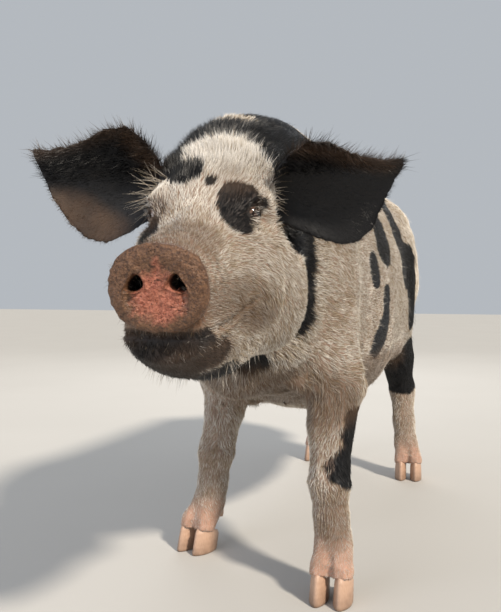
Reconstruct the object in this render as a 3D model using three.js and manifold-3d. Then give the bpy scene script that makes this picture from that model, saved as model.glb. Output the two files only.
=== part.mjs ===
// A spotted domestic pig, standing, as a life-size still model.
// Millimetres, +Z up. The pig faces -Y and its left side is +X. The floor is z = 0 and the
// origin lies on it, midway between the fore and hind feet.
//
// The flesh is one implicit body: profiles for the trunk, chains of oval sections for the head,
// neck and legs, and oval muscles, all blended smoothly. The body is meshed region by region
// and parted by thin flat cuts, so that each named part is a solid of its own.

import * as THREE from 'three';
import { mergeVertices } from 'three/addons/utils/BufferGeometryUtils.js';
import Module from 'manifold-3d';

const wasm = await Module();
wasm.setup();

// ---------------------------------------------------------------- driving dimensions

const GAP = 0.3;                          // between solids that touch

const TRUNK_FRONT = -600;
const TRUNK_REAR = 590;
const CHEST_ROUNDING = 190;               // length over which the trunk's front closes
const RUMP_ROUNDING = 230;                // length over which the rump closes
const BACK_FULLNESS = 1.88;               // of the section's upper half: 2 is an ellipse
const BELLY_FULLNESS = 2.45;              // and of its lower half: more is squarer
// Top line, belly line and half width of the trunk at each station along it.
const TRUNK_STATIONS = [
  { y: -600, top: 745, bottom: 430, half: 126 },
  { y: -460, top: 790, bottom: 352, half: 144 },
  { y: -330, top: 808, bottom: 300, half: 155 },
  { y: -150, top: 800, bottom: 250, half: 167 },
  { y: 50, top: 799, bottom: 236, half: 172 },
  { y: 220, top: 804, bottom: 268, half: 166 },
  { y: 380, top: 793, bottom: 360, half: 152 },
  { y: 590, top: 744, bottom: 440, half: 138 },
];

const SNOUT_CENTRE = [112, -957, 502];    // middle of the snout disc's front face
const HEAD_YAW = 11;                      // degrees, nose towards the pig's left
const HEAD_PITCH = 12;                    // degrees, nose down
const HEAD_LENGTH = 340;                  // disc to the back of the skull
const DISC = { halfWidth: 53.5, halfHeight: 47, fullness: 2.25, thickness: 20, rim: 7 };
const NOSTRIL = { side: 22, up: 3, depth: 15, halfWidth: 9.5, halfHeight: 7 };
const EYE = { side: 58, back: 203, up: 52, radius: 15 };
const SKULL_END = 318;                    // where the neck begins, behind the ears
const NECK_END = -475;                    // where the neck ends and the trunk begins
const NECK_TILT = -14;                    // degrees, of that cut
const JAW = { front: 20, back: 152, top: -52, tilt: 4 };   // the mouth line and its corner

const EAR_ROOT = [75, 285, 68];           // in the head's frame, on the left
const EAR_THICKNESS = { root: 11, tip: 6.5 };
const EAR_ROLL = { radius: 11, turn: 112 };   // how the upper rim rolls forward, in degrees
const EAR_LEAN = 0.2;                     // forward for each millimetre outward
// Lower and upper edge of the ear at each distance out from its root.
const EAR_STATIONS = [
  { out: 0, low: -24, high: 52, cup: 26 },
  { out: 18, low: -32, high: 78, cup: 30 },
  { out: 42, low: -48, high: 96, cup: 29 },
  { out: 70, low: -62, high: 91, cup: 24 },
  { out: 98, low: -58, high: 75, cup: 18 },
  { out: 124, low: -38, high: 65, cup: 12 },
  { out: 146, low: -6, high: 61, cup: 8 },
  { out: 162, low: 30, high: 60, cup: 4 },
  { out: 172, low: 48, high: 60, cup: 0 },
];
// How each ear is turned from straight out, in degrees: raised at the tip, swept back at the
// tip, and nodded forward along its top. Its lobe is drawn outward, in a share of its drop.
const EAR_POSE = {
  left: { raised: 1, swept: 14, nodded: 22, lobe: 0.35, length: 0.95 },
  right: { raised: 5, swept: -4, nodded: 0, lobe: 0, length: 1 },
};

// The tail's points from its root, and its radius at each.
const TAIL_ROOT = [0, 528, 704];
const TAIL_PATH = [
  { at: [0, 0, 0], radius: 20 },
  { at: [0, 34, 2], radius: 17.5 },
  { at: [4, 60, -10], radius: 15 },
  { at: [14, 72, -36], radius: 13 },
  { at: [30, 66, -62], radius: 11.5 },
  { at: [42, 46, -72], radius: 10 },
  { at: [40, 28, -60], radius: 9 },
  { at: [24, 30, -46], radius: 8 },
  { at: [6, 46, -52], radius: 7.5 },
  { at: [-6, 58, -74], radius: 7 },
  { at: [-9, 58, -104], radius: 6 },
  { at: [-6, 54, -128], radius: 4.5 },
];

// A claw, and the slope of the coronet above it in degrees, high in front.
const HOOF = { length: 62, width: 33, height: 40, spread: 18.5, slope: 15 };
const DEWCLAW = { up: 66, back: 36, spread: 18, length: 15, radius: 9 };

// A leg's joints, as offsets back from the foot and in towards the middle, with their height
// and their side and fore-and-aft half widths.
const FORE_LEG_JOINTS = [
  { name: 'shoulder', back: 70, inward: 52, up: 480, side: 64, fore: 98 },
  { name: 'elbow', back: 58, inward: 18, up: 350, side: 51, fore: 64 },
  { name: 'forearm', back: 34, inward: 16, up: 275, side: 39, fore: 47 },
  { name: 'knee', back: 14, inward: 12, up: 190, side: 34.5, fore: 36 },
  { name: 'cannon', back: 16, inward: 9, up: 130, side: 28.5, fore: 30 },
  { name: 'fetlock', back: 16, inward: 4, up: 88, side: 31, fore: 31 },
];
const HIND_LEG_JOINTS = [
  { name: 'hip', back: 30, inward: 78, up: 580, side: 72, fore: 140 },
  { name: 'stifle', back: -10, inward: 56, up: 440, side: 62, fore: 100 },
  { name: 'gaskin', back: 26, inward: 38, up: 330, side: 45, fore: 62 },
  { name: 'hock', back: 64, inward: 28, up: 232, side: 34, fore: 41 },
  { name: 'cannon', back: 34, inward: 18, up: 145, side: 28, fore: 31 },
  { name: 'fetlock', back: 18, inward: 10, up: 90, side: 31, fore: 32 },
];
// Where a leg is parted from the trunk and at its middle joint, and how wide that cut reaches.
const FORE_LEG = { joints: FORE_LEG_JOINTS, top: 345, topJoint: 1, middle: 196, reach: [150, 210] };
const HIND_LEG = { joints: HIND_LEG_JOINTS, top: 352, topJoint: 2, middle: 240, reach: [150, 220] };
// Each leg: its foot's place on the floor, how far its upper end leans in, how far its elbow or
// stifle spreads out again, and the turn of its toes in degrees, to the left.
const LEGS = [
  { name: 'foreleg_left', side: 1, kind: FORE_LEG, foot: [159, -461], lean: -3, spread: 0, turn: 2 },
  { name: 'foreleg_right', side: -1, kind: FORE_LEG, foot: [-141, -333], lean: 22, spread: 14, turn: -14 },
  { name: 'hindleg_left', side: 1, kind: HIND_LEG, foot: [153, 342], lean: 0, spread: 0, turn: 8 },
  { name: 'hindleg_right', side: -1, kind: HIND_LEG, foot: [-130, 452], lean: 0, spread: 0, turn: -8 },
];

// ---------------------------------------------------------------- finishes

const finish = (color, roughness) =>
  new THREE.MeshStandardMaterial({ color, roughness, metalness: 0 });
const WHITE_HIDE = finish(0xcbbfae, 0.8);
const DARK_HIDE = finish(0x2b2a2c, 0.75);
const SNOUT_SKIN = finish(0x9a6350, 0.55);
const HOOF_HORN = finish(0x8f7660, 0.5);
const EYE_GLOSS = finish(0x1d130c, 0.12);

// ---------------------------------------------------------------- small mathematics

const SIDES = [1, -1];                    // left, right
const sideName = (k) => (k > 0 ? 'left' : 'right');
const clamp = (v, low, high) => Math.min(high, Math.max(low, v));
const mix = (a, b, t) => a + (b - a) * t;
const radians = THREE.MathUtils.degToRad;

// A smooth curve through knots [[at, value], ...], held level beyond its ends.
function smoothCurve(knots) {
  const slope = (i) => {
    const a = knots[Math.max(0, i - 1)];
    const b = knots[Math.min(knots.length - 1, i + 1)];
    return (b[1] - a[1]) / (b[0] - a[0]);
  };
  return (at) => {
    const s = clamp(at, knots[0][0], knots.at(-1)[0]);
    let i = 0;
    while (i < knots.length - 2 && s > knots[i + 1][0]) i += 1;
    const [x0, y0] = knots[i];
    const [x1, y1] = knots[i + 1];
    const w = x1 - x0;
    const t = (s - x0) / w;
    return y0 * (1 + 2 * t) * (1 - t) ** 2 + slope(i) * w * t * (1 - t) ** 2
      + y1 * t * t * (3 - 2 * t) + slope(i + 1) * w * t * t * (t - 1);
  };
}

// The smooth least of two distances, blended over a width k.
function blend(a, b, k) {
  const h = Math.max(k - Math.abs(a - b), 0) / k;
  return Math.min(a, b) - h * h * k * 0.25;
}

// Distance to a superellipse with half widths rx and ry, measured across it.
function ovalDistance(x, y, rx, ry, power = 2) {
  const a = Math.abs(x) / rx;
  const b = Math.abs(y) / ry;
  const reach = (a ** power + b ** power) ** (1 / power);
  if (reach < 1e-3) return -Math.min(rx, ry);
  const slope = Math.hypot(a ** (power - 1) / rx, b ** (power - 1) / ry) / reach ** (power - 1);
  return (reach - 1) / slope;
}

// A muscle: an ellipsoid at a centre, turned by Euler angles in degrees.
function muscle(centre, radii, turn = [0, 0, 0]) {
  const back = new THREE.Matrix4()
    .makeRotationFromEuler(new THREE.Euler(...turn.map(radians)))
    .invert();
  const p = new THREE.Vector3();
  return (x, y, z) => {
    p.set(x - centre[0], y - centre[1], z - centre[2]).applyMatrix4(back);
    const near = Math.hypot(p.x / radii[0], p.y / radii[1], p.z / radii[2]);
    if (near < 1e-3) return -Math.min(...radii);
    const slope = Math.hypot(p.x / radii[0] ** 2, p.y / radii[1] ** 2, p.z / radii[2] ** 2);
    return near * (near - 1) / slope;
  };
}

// A chain of oval sections. Each station is { at: [x, y, z], side, fore }: the half width along
// the axis across, and the half width square to that and to the chain.
function chain(stations, across, softness) {
  const side = new THREE.Vector3(...across).normalize();
  const links = stations.slice(1).map((b, i) => {
    const a = stations[i];
    const from = new THREE.Vector3(...a.at);
    const along = new THREE.Vector3(...b.at).sub(from);
    const axis = along.clone().normalize();
    const wide = side.clone().addScaledVector(axis, -side.dot(axis)).normalize();
    const deep = new THREE.Vector3().crossVectors(axis, wide);
    return { a, b, from, along, axis, wide, deep };
  });
  const p = new THREE.Vector3();
  return (x, y, z) => links.reduce((least, { a, b, from, along, axis, wide, deep }) => {
    p.set(x, y, z).sub(from);
    const t = clamp(p.dot(along) / along.lengthSq(), 0, 1);
    p.addScaledVector(along, -t);
    const s = mix(a.side, b.side, t);
    const f = mix(a.fore, b.fore, t);
    const u = p.dot(wide) / s;
    const v = p.dot(deep) / f;
    const w = p.dot(axis) * 2 / (s + f);
    const near = Math.hypot(u, v, w);
    const slope = Math.hypot(u / s, v / f, w * 2 / (s + f)) || 1;
    const distance = near < 1e-3 ? -Math.min(s, f) : near * (near - 1) / slope;
    return least === null ? distance : blend(least, distance, softness);
  }, null);
}

// ---------------------------------------------------------------- the head's own frame

// x is the head's left, y runs back from the disc along the head, z is up from its axis.
const headFrame = new THREE.Matrix4()
  .makeRotationFromEuler(new THREE.Euler(radians(HEAD_PITCH), 0, radians(HEAD_YAW), 'ZXY'))
  .setPosition(...SNOUT_CENTRE);
const intoHead = headFrame.clone().invert();
const headPoint = (side, back, up) =>
  new THREE.Vector3(side, back, up).applyMatrix4(headFrame).toArray();

// ---------------------------------------------------------------- the body's field

const trunkTop = smoothCurve(TRUNK_STATIONS.map((s) => [s.y, s.top]));
const trunkBottom = smoothCurve(TRUNK_STATIONS.map((s) => [s.y, s.bottom]));
const trunkHalf = smoothCurve(TRUNK_STATIONS.map((s) => [s.y, s.half]));

function trunkField(x, y, z) {
  const s = clamp(y, TRUNK_FRONT + 1, TRUNK_REAR - 1);
  const intoFront = clamp((TRUNK_FRONT + CHEST_ROUNDING - s) / CHEST_ROUNDING, 0, 1);
  const intoRear = clamp((s - TRUNK_REAR + RUMP_ROUNDING) / RUMP_ROUNDING, 0, 1);
  const end = Math.sqrt(1 - Math.max(intoFront, intoRear) ** 2.4);
  const middle = (trunkTop(s) + trunkBottom(s)) / 2;
  const height = (trunkTop(s) - trunkBottom(s)) / 2;
  const fullness = z > middle ? BACK_FULLNESS : BELLY_FULLNESS;
  const across = ovalDistance(x, z - middle, trunkHalf(s) * end, height * end, fullness);
  return y === s ? across : Math.hypot(Math.max(across, 0), y - s);
}

const MUSCLES = [
  ...[1, -1].flatMap((k) => [
    muscle([k * 104, -375, 510], [66, 130, 185], [14, 0, 0]),    // shoulder
    muscle([k * 84, -490, 470], [62, 84, 105], [0, 0, 0]),       // point of the shoulder
    muscle([k * 84, 400, 550], [76, 160, 195], [-8, 0, 0]),      // ham
    muscle([k * 70, 500, 520], [62, 84, 130], [0, 0, 0]),        // buttock
    muscle([k * 118, 255, 400], [38, 105, 66], [-20, 0, 0]),     // fold of the flank
  ]),
  muscle([6, -430, 388], [88, 120, 66], [12, 0, 0]),             // brisket
];

const neckField = chain([
  { at: headPoint(0, 292, -14), side: 92, fore: 118 },
  { at: headPoint(0, 378, -12), side: 98, fore: 148 },
  { at: [6, -490, 582], side: 128, fore: 192 },
  { at: [0, -380, 586], side: 144, fore: 204 },
], [1, 0, 0], 30);

// The head's pieces, in the head's frame.
const HEAD_SHAPES = [
  chain([                                                        // bridge of the snout
    { at: [0, 30, -1], side: 48, fore: 43.5 },
    { at: [0, 70, 3], side: 46, fore: 43 },
    { at: [0, 125, 9], side: 50, fore: 44 },
    { at: [0, 180, 22], side: 58, fore: 49 },
  ], [1, 0, 0], 16),
  chain([                                                        // forehead and skull
    { at: [0, 190, 28], side: 58, fore: 46 },
    { at: [0, 245, 50], side: 68, fore: 62 },
    { at: [0, 300, 60], side: 74, fore: 78 },
  ], [1, 0, 0], 20),
  chain([                                                        // lower jaw
    { at: [-5, 42, -58], side: 51, fore: 34 },
    { at: [-2, 92, -74], side: 57, fore: 42 },
    { at: [0, 165, -86], side: 65, fore: 56 },
    { at: [0, 270, -74], side: 92, fore: 84 },
  ], [1, 0, 0], 20),
  ...[1, -1].flatMap((k) => [
    muscle([k * 52, 232, -30], [54, 104, 90], [0, 0, k * -8]),   // cheek
    muscle([k * 66, 272, -64], [52, 64, 76], [0, 0, 0]),         // jowl
    muscle([k * 30, 112, -26], [34, 70, 34], [0, 0, k * -8]),    // upper lip
    muscle([k * 55, 212, 70], [22, 30, 14], [0, 0, k * -24]),    // brow
    muscle([k * 64, 285, 66], [36, 36, 50], [0, 0, 0]),          // root of the ear
  ]),
];
const HEAD_SOFTNESS = 26;

function headField(x, y, z) {
  return HEAD_SHAPES.map((shape) => shape(x, y, z))
    .reduce((least, d) => blend(least, d, HEAD_SOFTNESS));
}

// Shallow hollows round the eyes, in the head's frame.
const eyeHollows = [1, -1].map((k) =>
  muscle([k * (EYE.side + 17), EYE.back - 4, EYE.up - 3], [20, 24, 17], [0, 0, k * -24]));

// A leg's joints as stations of a chain.
function legStations({ side, kind, foot, lean, spread }) {
  const straight = kind.joints[2].up;
  return kind.joints.map((joint) => {
    const outward = (joint.up > straight ? spread : 0) - lean * Math.min(1, joint.up / straight);
    return {
      at: [foot[0] + side * (outward - joint.inward), foot[1] + joint.back, joint.up],
      side: joint.side,
      fore: joint.fore,
    };
  });
}

// A foot's own frame: x across, y back, z up, on the floor.
const footFrame = ({ foot, turn }) => new THREE.Matrix4()
  .makeRotationZ(radians(turn))
  .setPosition(foot[0], foot[1], 0);

// One toe of a foot, from the fetlock down into its hoof. k is 1 for the left toe.
function toeChain(leg, k) {
  const frame = footFrame(leg);
  const at = (...v) => new THREE.Vector3(...v).applyMatrix4(frame).toArray();
  const fetlock = legStations(leg).at(-1);
  return chain([
    { at: [fetlock.at[0] + k * 8, fetlock.at[1], fetlock.at[2]], side: 23, fore: 27 },
    { at: at(k * (HOOF.spread - 1), -7, 54), side: 18, fore: 26 },
    { at: at(k * HOOF.spread, -14, 18), side: 17, fore: 27 },
  ], [1, 0, 0], 8);
}

const LEG_SOFTNESS = 34;
const TOE_SOFTNESS = 7;
const legFields = LEGS.map((leg) => {
  const shaft = chain(legStations(leg), [1, 0, 0], 14);
  const left = toeChain(leg, 1);
  const right = toeChain(leg, -1);
  return (x, y, z) => blend(shaft(x, y, z), blend(left(x, y, z), right(x, y, z), TOE_SOFTNESS), 12);
});

const p = new THREE.Vector3();
function bodyField(x, y, z) {
  let d = trunkField(x, y, z);
  MUSCLES.forEach((shape) => { d = blend(d, shape(x, y, z), 40); });
  d = blend(d, neckField(x, y, z), 60);
  p.set(x, y, z).applyMatrix4(intoHead);
  const [hx, hy, hz] = p.toArray();
  d = blend(d, headField(hx, hy, hz), 34);
  eyeHollows.forEach((hollow) => { d = -blend(-d, hollow(hx, hy, hz), 12); });
  legFields.forEach((leg) => { d = blend(d, leg(x, y, z), LEG_SOFTNESS); });
  return d;
}

// ---------------------------------------------------------------- meshing a field

// Moves a point onto a field's zero surface, by no more than reach.
function ontoSurface(field, point, reach) {
  const d = field(...point);
  const slope = point.map((_, k) => field(...point.map((v, i) => v + (i === k ? 1 : 0))) - d);
  const steepness = Math.max(Math.hypot(...slope), 0.3);
  const step = clamp(d / steepness, -reach, reach) / steepness;
  return point.map((v, k) => v - slope[k] * step);
}

// A surface net: one vertex in each grid cell that the surface crosses, and one quad for each
// grid edge that it cuts. The field has to be positive all round the edge of the box.
function surfaceNet(field, low, high, cell) {
  const n = low.map((v, i) => Math.ceil((high[i] - v) / cell) + 1);
  const step = [1, n[0], n[0] * n[1]];
  const values = new Float64Array(n[0] * n[1] * n[2]);
  const place = (i) => [i % n[0], Math.floor(i / step[1]) % n[1], Math.floor(i / step[2])];
  for (let i = 0; i < values.length; i += 1) {
    values[i] = field(...place(i).map((c, k) => low[k] + c * cell));
  }
  const corners = [0, 1, 2, 3, 4, 5, 6, 7].map((c) => [c & 1, (c >> 1) & 1, c >> 2]);
  const edges = corners.flatMap((c, i) => [1, 2, 4].filter((b) => !(i & b)).map((b) => [i, i | b]));
  const vertices = [];
  const vertexOf = new Int32Array(values.length).fill(-1);
  for (let i = 0; i < values.length; i += 1) {
    const at = place(i);
    if (at.some((c, k) => c >= n[k] - 1)) continue;
    const v = corners.map((c) => values[i + c[0] + c[1] * step[1] + c[2] * step[2]]);
    const inside = v.filter((d) => d < 0).length;
    if (inside === 0 || inside === 8) continue;
    const cuts = edges.filter(([a, b]) => (v[a] < 0) !== (v[b] < 0)).map(([a, b]) => {
      const t = v[a] / (v[a] - v[b]);
      return corners[a].map((c, k) => mix(c, corners[b][k], t));
    });
    vertexOf[i] = vertices.length / 3;
    vertices.push(...ontoSurface(field, at.map((c, k) => {
      const mean = cuts.reduce((sum, cut) => sum + cut[k], 0) / cuts.length;
      return low[k] + (c + mean) * cell;
    }), cell / 3));
  }
  const faces = [];
  for (let i = 0; i < values.length; i += 1) {
    for (let k = 0; k < 3; k += 1) {
      const at = place(i);
      const a = (k + 1) % 3;
      const b = (k + 2) % 3;
      if (at[k] >= n[k] - 1 || at[a] === 0 || at[b] === 0) continue;
      const leaving = values[i] < 0;
      if (leaving === (values[i + step[k]] < 0)) continue;
      const quad = [i, i - step[a], i - step[a] - step[b], i - step[b]].map((c) => vertexOf[c]);
      if (!leaving) quad.reverse();
      faces.push(quad[0], quad[1], quad[2], quad[0], quad[2], quad[3]);
    }
  }
  return new THREE.BufferGeometry()
    .setAttribute('position', new THREE.Float32BufferAttribute(vertices, 3))
    .setIndex(faces);
}

// A closed body through rings of points, with a fan at each end.
function loft(rings) {
  const sides = rings[0].length;
  const points = rings.flat().map((q) => new THREE.Vector3(...q));
  const faces = [];
  for (let r = 0; r < rings.length - 1; r += 1) {
    for (let s = 0; s < sides; s += 1) {
      const a = r * sides + s;
      const b = r * sides + ((s + 1) % sides);
      faces.push(a, b, a + sides, b, b + sides, a + sides);
    }
  }
  [[0, true], [(rings.length - 1) * sides, false]].forEach(([start, first]) => {
    const ring = points.slice(start, start + sides);
    const centre = ring.reduce((sum, q) => sum.add(q), new THREE.Vector3()).divideScalar(sides);
    points.push(centre);
    for (let s = 0; s < sides; s += 1) {
      const pair = [start + s, start + ((s + 1) % sides)];
      if (first) pair.reverse();
      faces.push(...pair, points.length - 1);
    }
  });
  return new THREE.BufferGeometry()
    .setAttribute('position', new THREE.Float32BufferAttribute(points.flatMap((q) => q.toArray()), 3))
    .setIndex(faces);
}

// ---------------------------------------------------------------- solids

function solidOf(geometry, matrix = new THREE.Matrix4()) {
  const plain = new THREE.BufferGeometry()
    .setAttribute('position', geometry.getAttribute('position').clone())
    .setIndex(geometry.index)
    .applyMatrix4(matrix);
  const merged = mergeVertices(plain, 1e-3);
  return new wasm.Manifold(new wasm.Mesh({
    numProp: 3,
    vertProperties: merged.attributes.position.array,
    triVerts: new Uint32Array(merged.index.array),
  }));
}

function geometryOf(solid) {
  const mesh = solid.getMesh();
  return new THREE.BufferGeometry()
    .setAttribute('position', new THREE.Float32BufferAttribute(mesh.vertProperties, 3))
    .setIndex([...mesh.triVerts]);
}

// The biggest of a solid's separate bodies.
const largest = (solid) =>
  solid.decompose().reduce((best, body) => (body.volume() > best.volume() ? body : best));

// A box with a top face through a point, reaching down, for parting pieces. Its size is
// [width, length, depth], and grow widens it all round.
function block(top, size, turn = [0, 0, 0], grow = 0, parent = new THREE.Matrix4()) {
  const [w, l, d] = size.map((s) => s + 2 * grow);
  const frame = new THREE.Matrix4()
    .makeRotationFromEuler(new THREE.Euler(...turn.map(radians)))
    .setPosition(...top)
    .premultiply(parent);
  return solidOf(new THREE.BoxGeometry(w, l, d).translate(0, 0, grow - d / 2), frame);
}

// Meshes the body between two corners, in a frame of its own, and gives the solid in the pig's.
function fleshIn(low, high, cell, frame = new THREE.Matrix4()) {
  const q = new THREE.Vector3();
  const boxed = (x, y, z) => {
    const outside = Math.max(...[x, y, z].map((v, i) =>
      Math.max(low[i] + cell - v, v - high[i] + cell)));
    q.set(x, y, z).applyMatrix4(frame);
    return Math.max(bodyField(q.x, q.y, q.z), outside);
  };
  const top = high.map((v) => v + cell);
  const bottom = low.map((v) => v - cell);
  return solidOf(surfaceNet(boxed, bottom, top, cell), frame);
}

const model = new THREE.Group();
function add(name, geometry, material, parent = model) {
  const mesh = new THREE.Mesh(geometry, material);
  mesh.name = name;
  parent.add(mesh);
  return mesh;
}

// ---------------------------------------------------------------- where the flesh is parted

// Each cut is a block of space that belongs to the piece it holds, and grow widens it.
const HUGE = 1600;
const DEEP = [HUGE, HUGE, HUGE];
const ahead = (frame, edge) =>
  solidOf(new THREE.BoxGeometry(...DEEP).translate(0, edge - HUGE / 2, 0), frame);
const headSpace = (grow) => ahead(headFrame, SKULL_END + grow);
const neckFrame = new THREE.Matrix4()
  .makeRotationX(radians(NECK_TILT))
  .setPosition(0, NECK_END, 590);
const neckSpace = (grow) => ahead(neckFrame, grow);
const discSpace = ahead(headFrame, DISC.thickness + GAP);
const jawSpace = (grow) =>
  block([0, (JAW.front + JAW.back) / 2, JAW.top], [300, JAW.back - JAW.front, 260],
    [JAW.tilt, 0, 0], grow, headFrame);
// An ear's own frame, within the head's, and the space over the flat that it stands on.
function earFrame(k) {
  const { raised, swept, nodded } = EAR_POSE[sideName(k)];
  return new THREE.Matrix4()
    .makeRotationFromEuler(new THREE.Euler(...[nodded, -k * raised, k * swept].map(radians), 'ZYX'))
    .setPosition(k * EAR_ROOT[0], EAR_ROOT[1], EAR_ROOT[2]);
}
const earSpace = (k) =>
  solidOf(new THREE.BoxGeometry(120, 130, 156).translate(k * (60 - GAP), 0, 6),
    headFrame.clone().multiply(earFrame(k)));

function legSpace(leg, grow) {
  const [x, y] = legStations(leg)[leg.kind.topJoint].at;
  return block([x, y, leg.kind.top], [...leg.kind.reach, HUGE], [0, leg.side * -12, 0], grow);
}
const shankSpace = (leg, grow) => block([0, 0, leg.kind.middle], DEEP, [0, 0, 0], grow);
const hoofSpace = (leg, grow) =>
  block([0, -14, HOOF.height], DEEP, [-HOOF.slope, 0, 0], grow, footFrame(leg));

// ---------------------------------------------------------------- trunk, neck and tail

const TRUNK_CELL = 52;
const HEAD_CELL = 19;
const THIGH_CELL = 27;
const SHANK_CELL = 17.5;
const PLAINNESS = 1;                      // how far merging small faces may move one

const legSpaces = (grow) => LEGS.map((leg) => legSpace(leg, grow));
const cutAway = (flesh, spaces) => spaces.reduce((left, space) => left.subtract(space), flesh);

function tailGeometry(grow) {
  const curve = new THREE.CatmullRomCurve3(TAIL_PATH.map((s) => new THREE.Vector3(...s.at)));
  const radius = smoothCurve(TAIL_PATH.map((s, i) => [i / (TAIL_PATH.length - 1), s.radius]));
  const steps = 20;
  const sides = 6;
  const frames = curve.computeFrenetFrames(steps);
  return loft(Array.from({ length: steps + 1 }, (_, i) => {
    const t = i / steps;
    const centre = curve.getPoint(t);
    const r = (radius(t) + grow) * (i === steps ? 0.5 : 1);
    return Array.from({ length: sides }, (__, s) => {
      const angle = 2 * Math.PI * s / sides;
      return centre.clone()
        .addScaledVector(frames.normals[i], r * Math.cos(angle))
        .addScaledVector(frames.binormals[i], r * Math.sin(angle))
        .toArray();
    });
  })).translate(...TAIL_ROOT);
}

const body = cutAway(fleshIn([-260, -720, 190], [260, 640, 860], TRUNK_CELL), legSpaces(GAP));
const neck = largest(body.intersect(neckSpace(0)).subtract(headSpace(GAP))).simplify(PLAINNESS);
const trunk = largest(body.subtract(neckSpace(GAP))).simplify(PLAINNESS)
  .subtract(solidOf(tailGeometry(GAP)));
add('trunk', geometryOf(trunk), WHITE_HIDE);
add('neck', geometryOf(neck), WHITE_HIDE);
add('tail', tailGeometry(0), WHITE_HIDE);

// ---------------------------------------------------------------- head, jaw, disc and eyes

const head = new THREE.Group();
head.applyMatrix4(headFrame);
model.add(head);
const homeToHead = (solid) => geometryOf(solid).applyMatrix4(intoHead);

// Rings of the snout disc, back to front: how far back, and how much narrower than the disc.
function discGeometry() {
  const { halfWidth, halfHeight, fullness, thickness, rim } = DISC;
  const rings = [[thickness, 3], [rim, 0], [rim / 4, 3], [0, rim]];
  const sides = 18;
  const bulge = (v) => Math.sign(v) * Math.abs(v) ** (2 / fullness);
  return loft(rings.map(([back, less]) => Array.from({ length: sides }, (_, i) => {
    const angle = 2 * Math.PI * i / sides;
    return [
      (halfWidth - less) * bulge(Math.cos(angle)),
      back,
      (halfHeight - less) * bulge(Math.sin(angle)),
    ];
  })));
}

function nostril(k) {
  const { side, up, depth, halfWidth, halfHeight } = NOSTRIL;
  return solidOf(new THREE.SphereGeometry(1, 8, 5)
    .scale(halfWidth, depth, halfHeight)
    .rotateY(radians(k * 24))
    .translate(k * side, 0, up), headFrame);
}

const eyeBall = (radius) => new THREE.SphereGeometry(radius, 12, 7);
const eyeAt = (k) => new THREE.Vector3(k * EYE.side, EYE.back, EYE.up);
const eyeSocket = (k) => solidOf(eyeBall(EYE.radius + GAP).translate(...eyeAt(k)), headFrame);

const headFlesh = fleshIn([-170, -10, -240], [170, SKULL_END + 60, 240], HEAD_CELL, headFrame)
  .intersect(headSpace(0));
const skull = largest(cutAway(headFlesh, [jawSpace(GAP), discSpace, ...SIDES.map(earSpace)]))
  .simplify(PLAINNESS);
const jaw = largest(headFlesh.intersect(jawSpace(0)).subtract(discSpace)).simplify(PLAINNESS);
const disc = cutAway(solidOf(discGeometry(), headFrame), SIDES.map(nostril));

add('head', homeToHead(cutAway(skull, SIDES.map(eyeSocket))), WHITE_HIDE, head);
add('jaw', homeToHead(jaw), DARK_HIDE, head);
add('snout_disc', homeToHead(disc), SNOUT_SKIN, head);
SIDES.forEach((k) => {
  add(`eye_${sideName(k)}`, eyeBall(EYE.radius), EYE_GLOSS, head).position.copy(eyeAt(k));
});

// ---------------------------------------------------------------- ears

const earCurve = (key) => smoothCurve(EAR_STATIONS.map((s) => [s.out, s[key]]));
const earLow = earCurve('low');
const earHigh = earCurve('high');
const earCup = earCurve('cup');
const EAR_END = EAR_STATIONS.at(-1).out;

// A point on the ear's middle surface, and its normal as [up, forward]. t runs from 0 at the
// lower edge to 1 at the end of the rolled upper rim.
function earSection(out, t) {
  const ease = Math.sqrt(1 - out / EAR_END);
  const radius = EAR_ROLL.radius * mix(0.45, 1, ease);
  const turn = radians(EAR_ROLL.turn) * mix(0.5, 1, ease);
  const straight = Math.max(earHigh(out) - earLow(out) - radius, 4);
  const along = t * (straight + radius * turn);
  const s = Math.min(along, straight);
  const bend = Math.max(0, along - straight) / radius;
  const share = 2 * s / straight - 1;
  const slope = Math.atan(4 * earCup(out) * share / straight) + bend;
  return {
    up: earLow(out) + s + radius * Math.sin(bend),
    forward: earCup(out) * share ** 2 + radius * (1 - Math.cos(bend)),
    normal: [-Math.sin(slope), Math.cos(slope)],
  };
}

// The ear in its own frame: x outward, y back, z up. Its hollow faces forward.
function earGeometry(side, { lobe, length }) {
  const across = 7;
  return loft(EAR_STATIONS.map(({ out }) => {
    const face = (k) => Array.from({ length: across + 1 }, (_, i) => {
      const t = i / across;
      const { up, forward, normal } = earSection(out, t);
      const edge = Math.min(1, 0.35 + 4 * Math.min(t, 1 - t));
      const half = mix(EAR_THICKNESS.root, EAR_THICKNESS.tip, out / EAR_END) / 2 * edge;
      return [
        side * (length * out + lobe * Math.max(0, -up) * Math.min(1, out / 50)),
        -(forward + EAR_LEAN * out + k * half * normal[1]),
        up + k * half * normal[0],
      ];
    });
    const ring = [...face(1), ...face(-1).reverse()];
    return side > 0 ? ring.reverse() : ring;
  }));
}

SIDES.forEach((k) => {
  const name = sideName(k);
  add(`ear_${name}`, earGeometry(k, EAR_POSE[name]), DARK_HIDE, head).applyMatrix4(earFrame(k));
});

// ---------------------------------------------------------------- legs and feet

// One claw in its foot's frame, from its flat sole up to the sloping coronet.
function clawGeometry(k) {
  const { length, width, height, spread, slope } = HOOF;
  const sides = 8;
  const rise = Math.tan(radians(slope));
  const levels = [[0, 0.97, 0], [0.12, 1, 0], [1, 0.92, 7]];
  return loft(levels.map(([level, size, back]) => Array.from({ length: sides }, (_, i) => {
    const angle = 2 * Math.PI * i / sides;
    const nose = Math.max(0, -Math.sin(angle));
    const x = k * spread + size * width / 2 * Math.cos(angle) * (1 - 0.2 * nose ** 2);
    const y = -14 + back + size * length / 2 * Math.sin(angle);
    return [x, y, level * (height - GAP - rise * (y + 14))];
  })));
}

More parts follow.
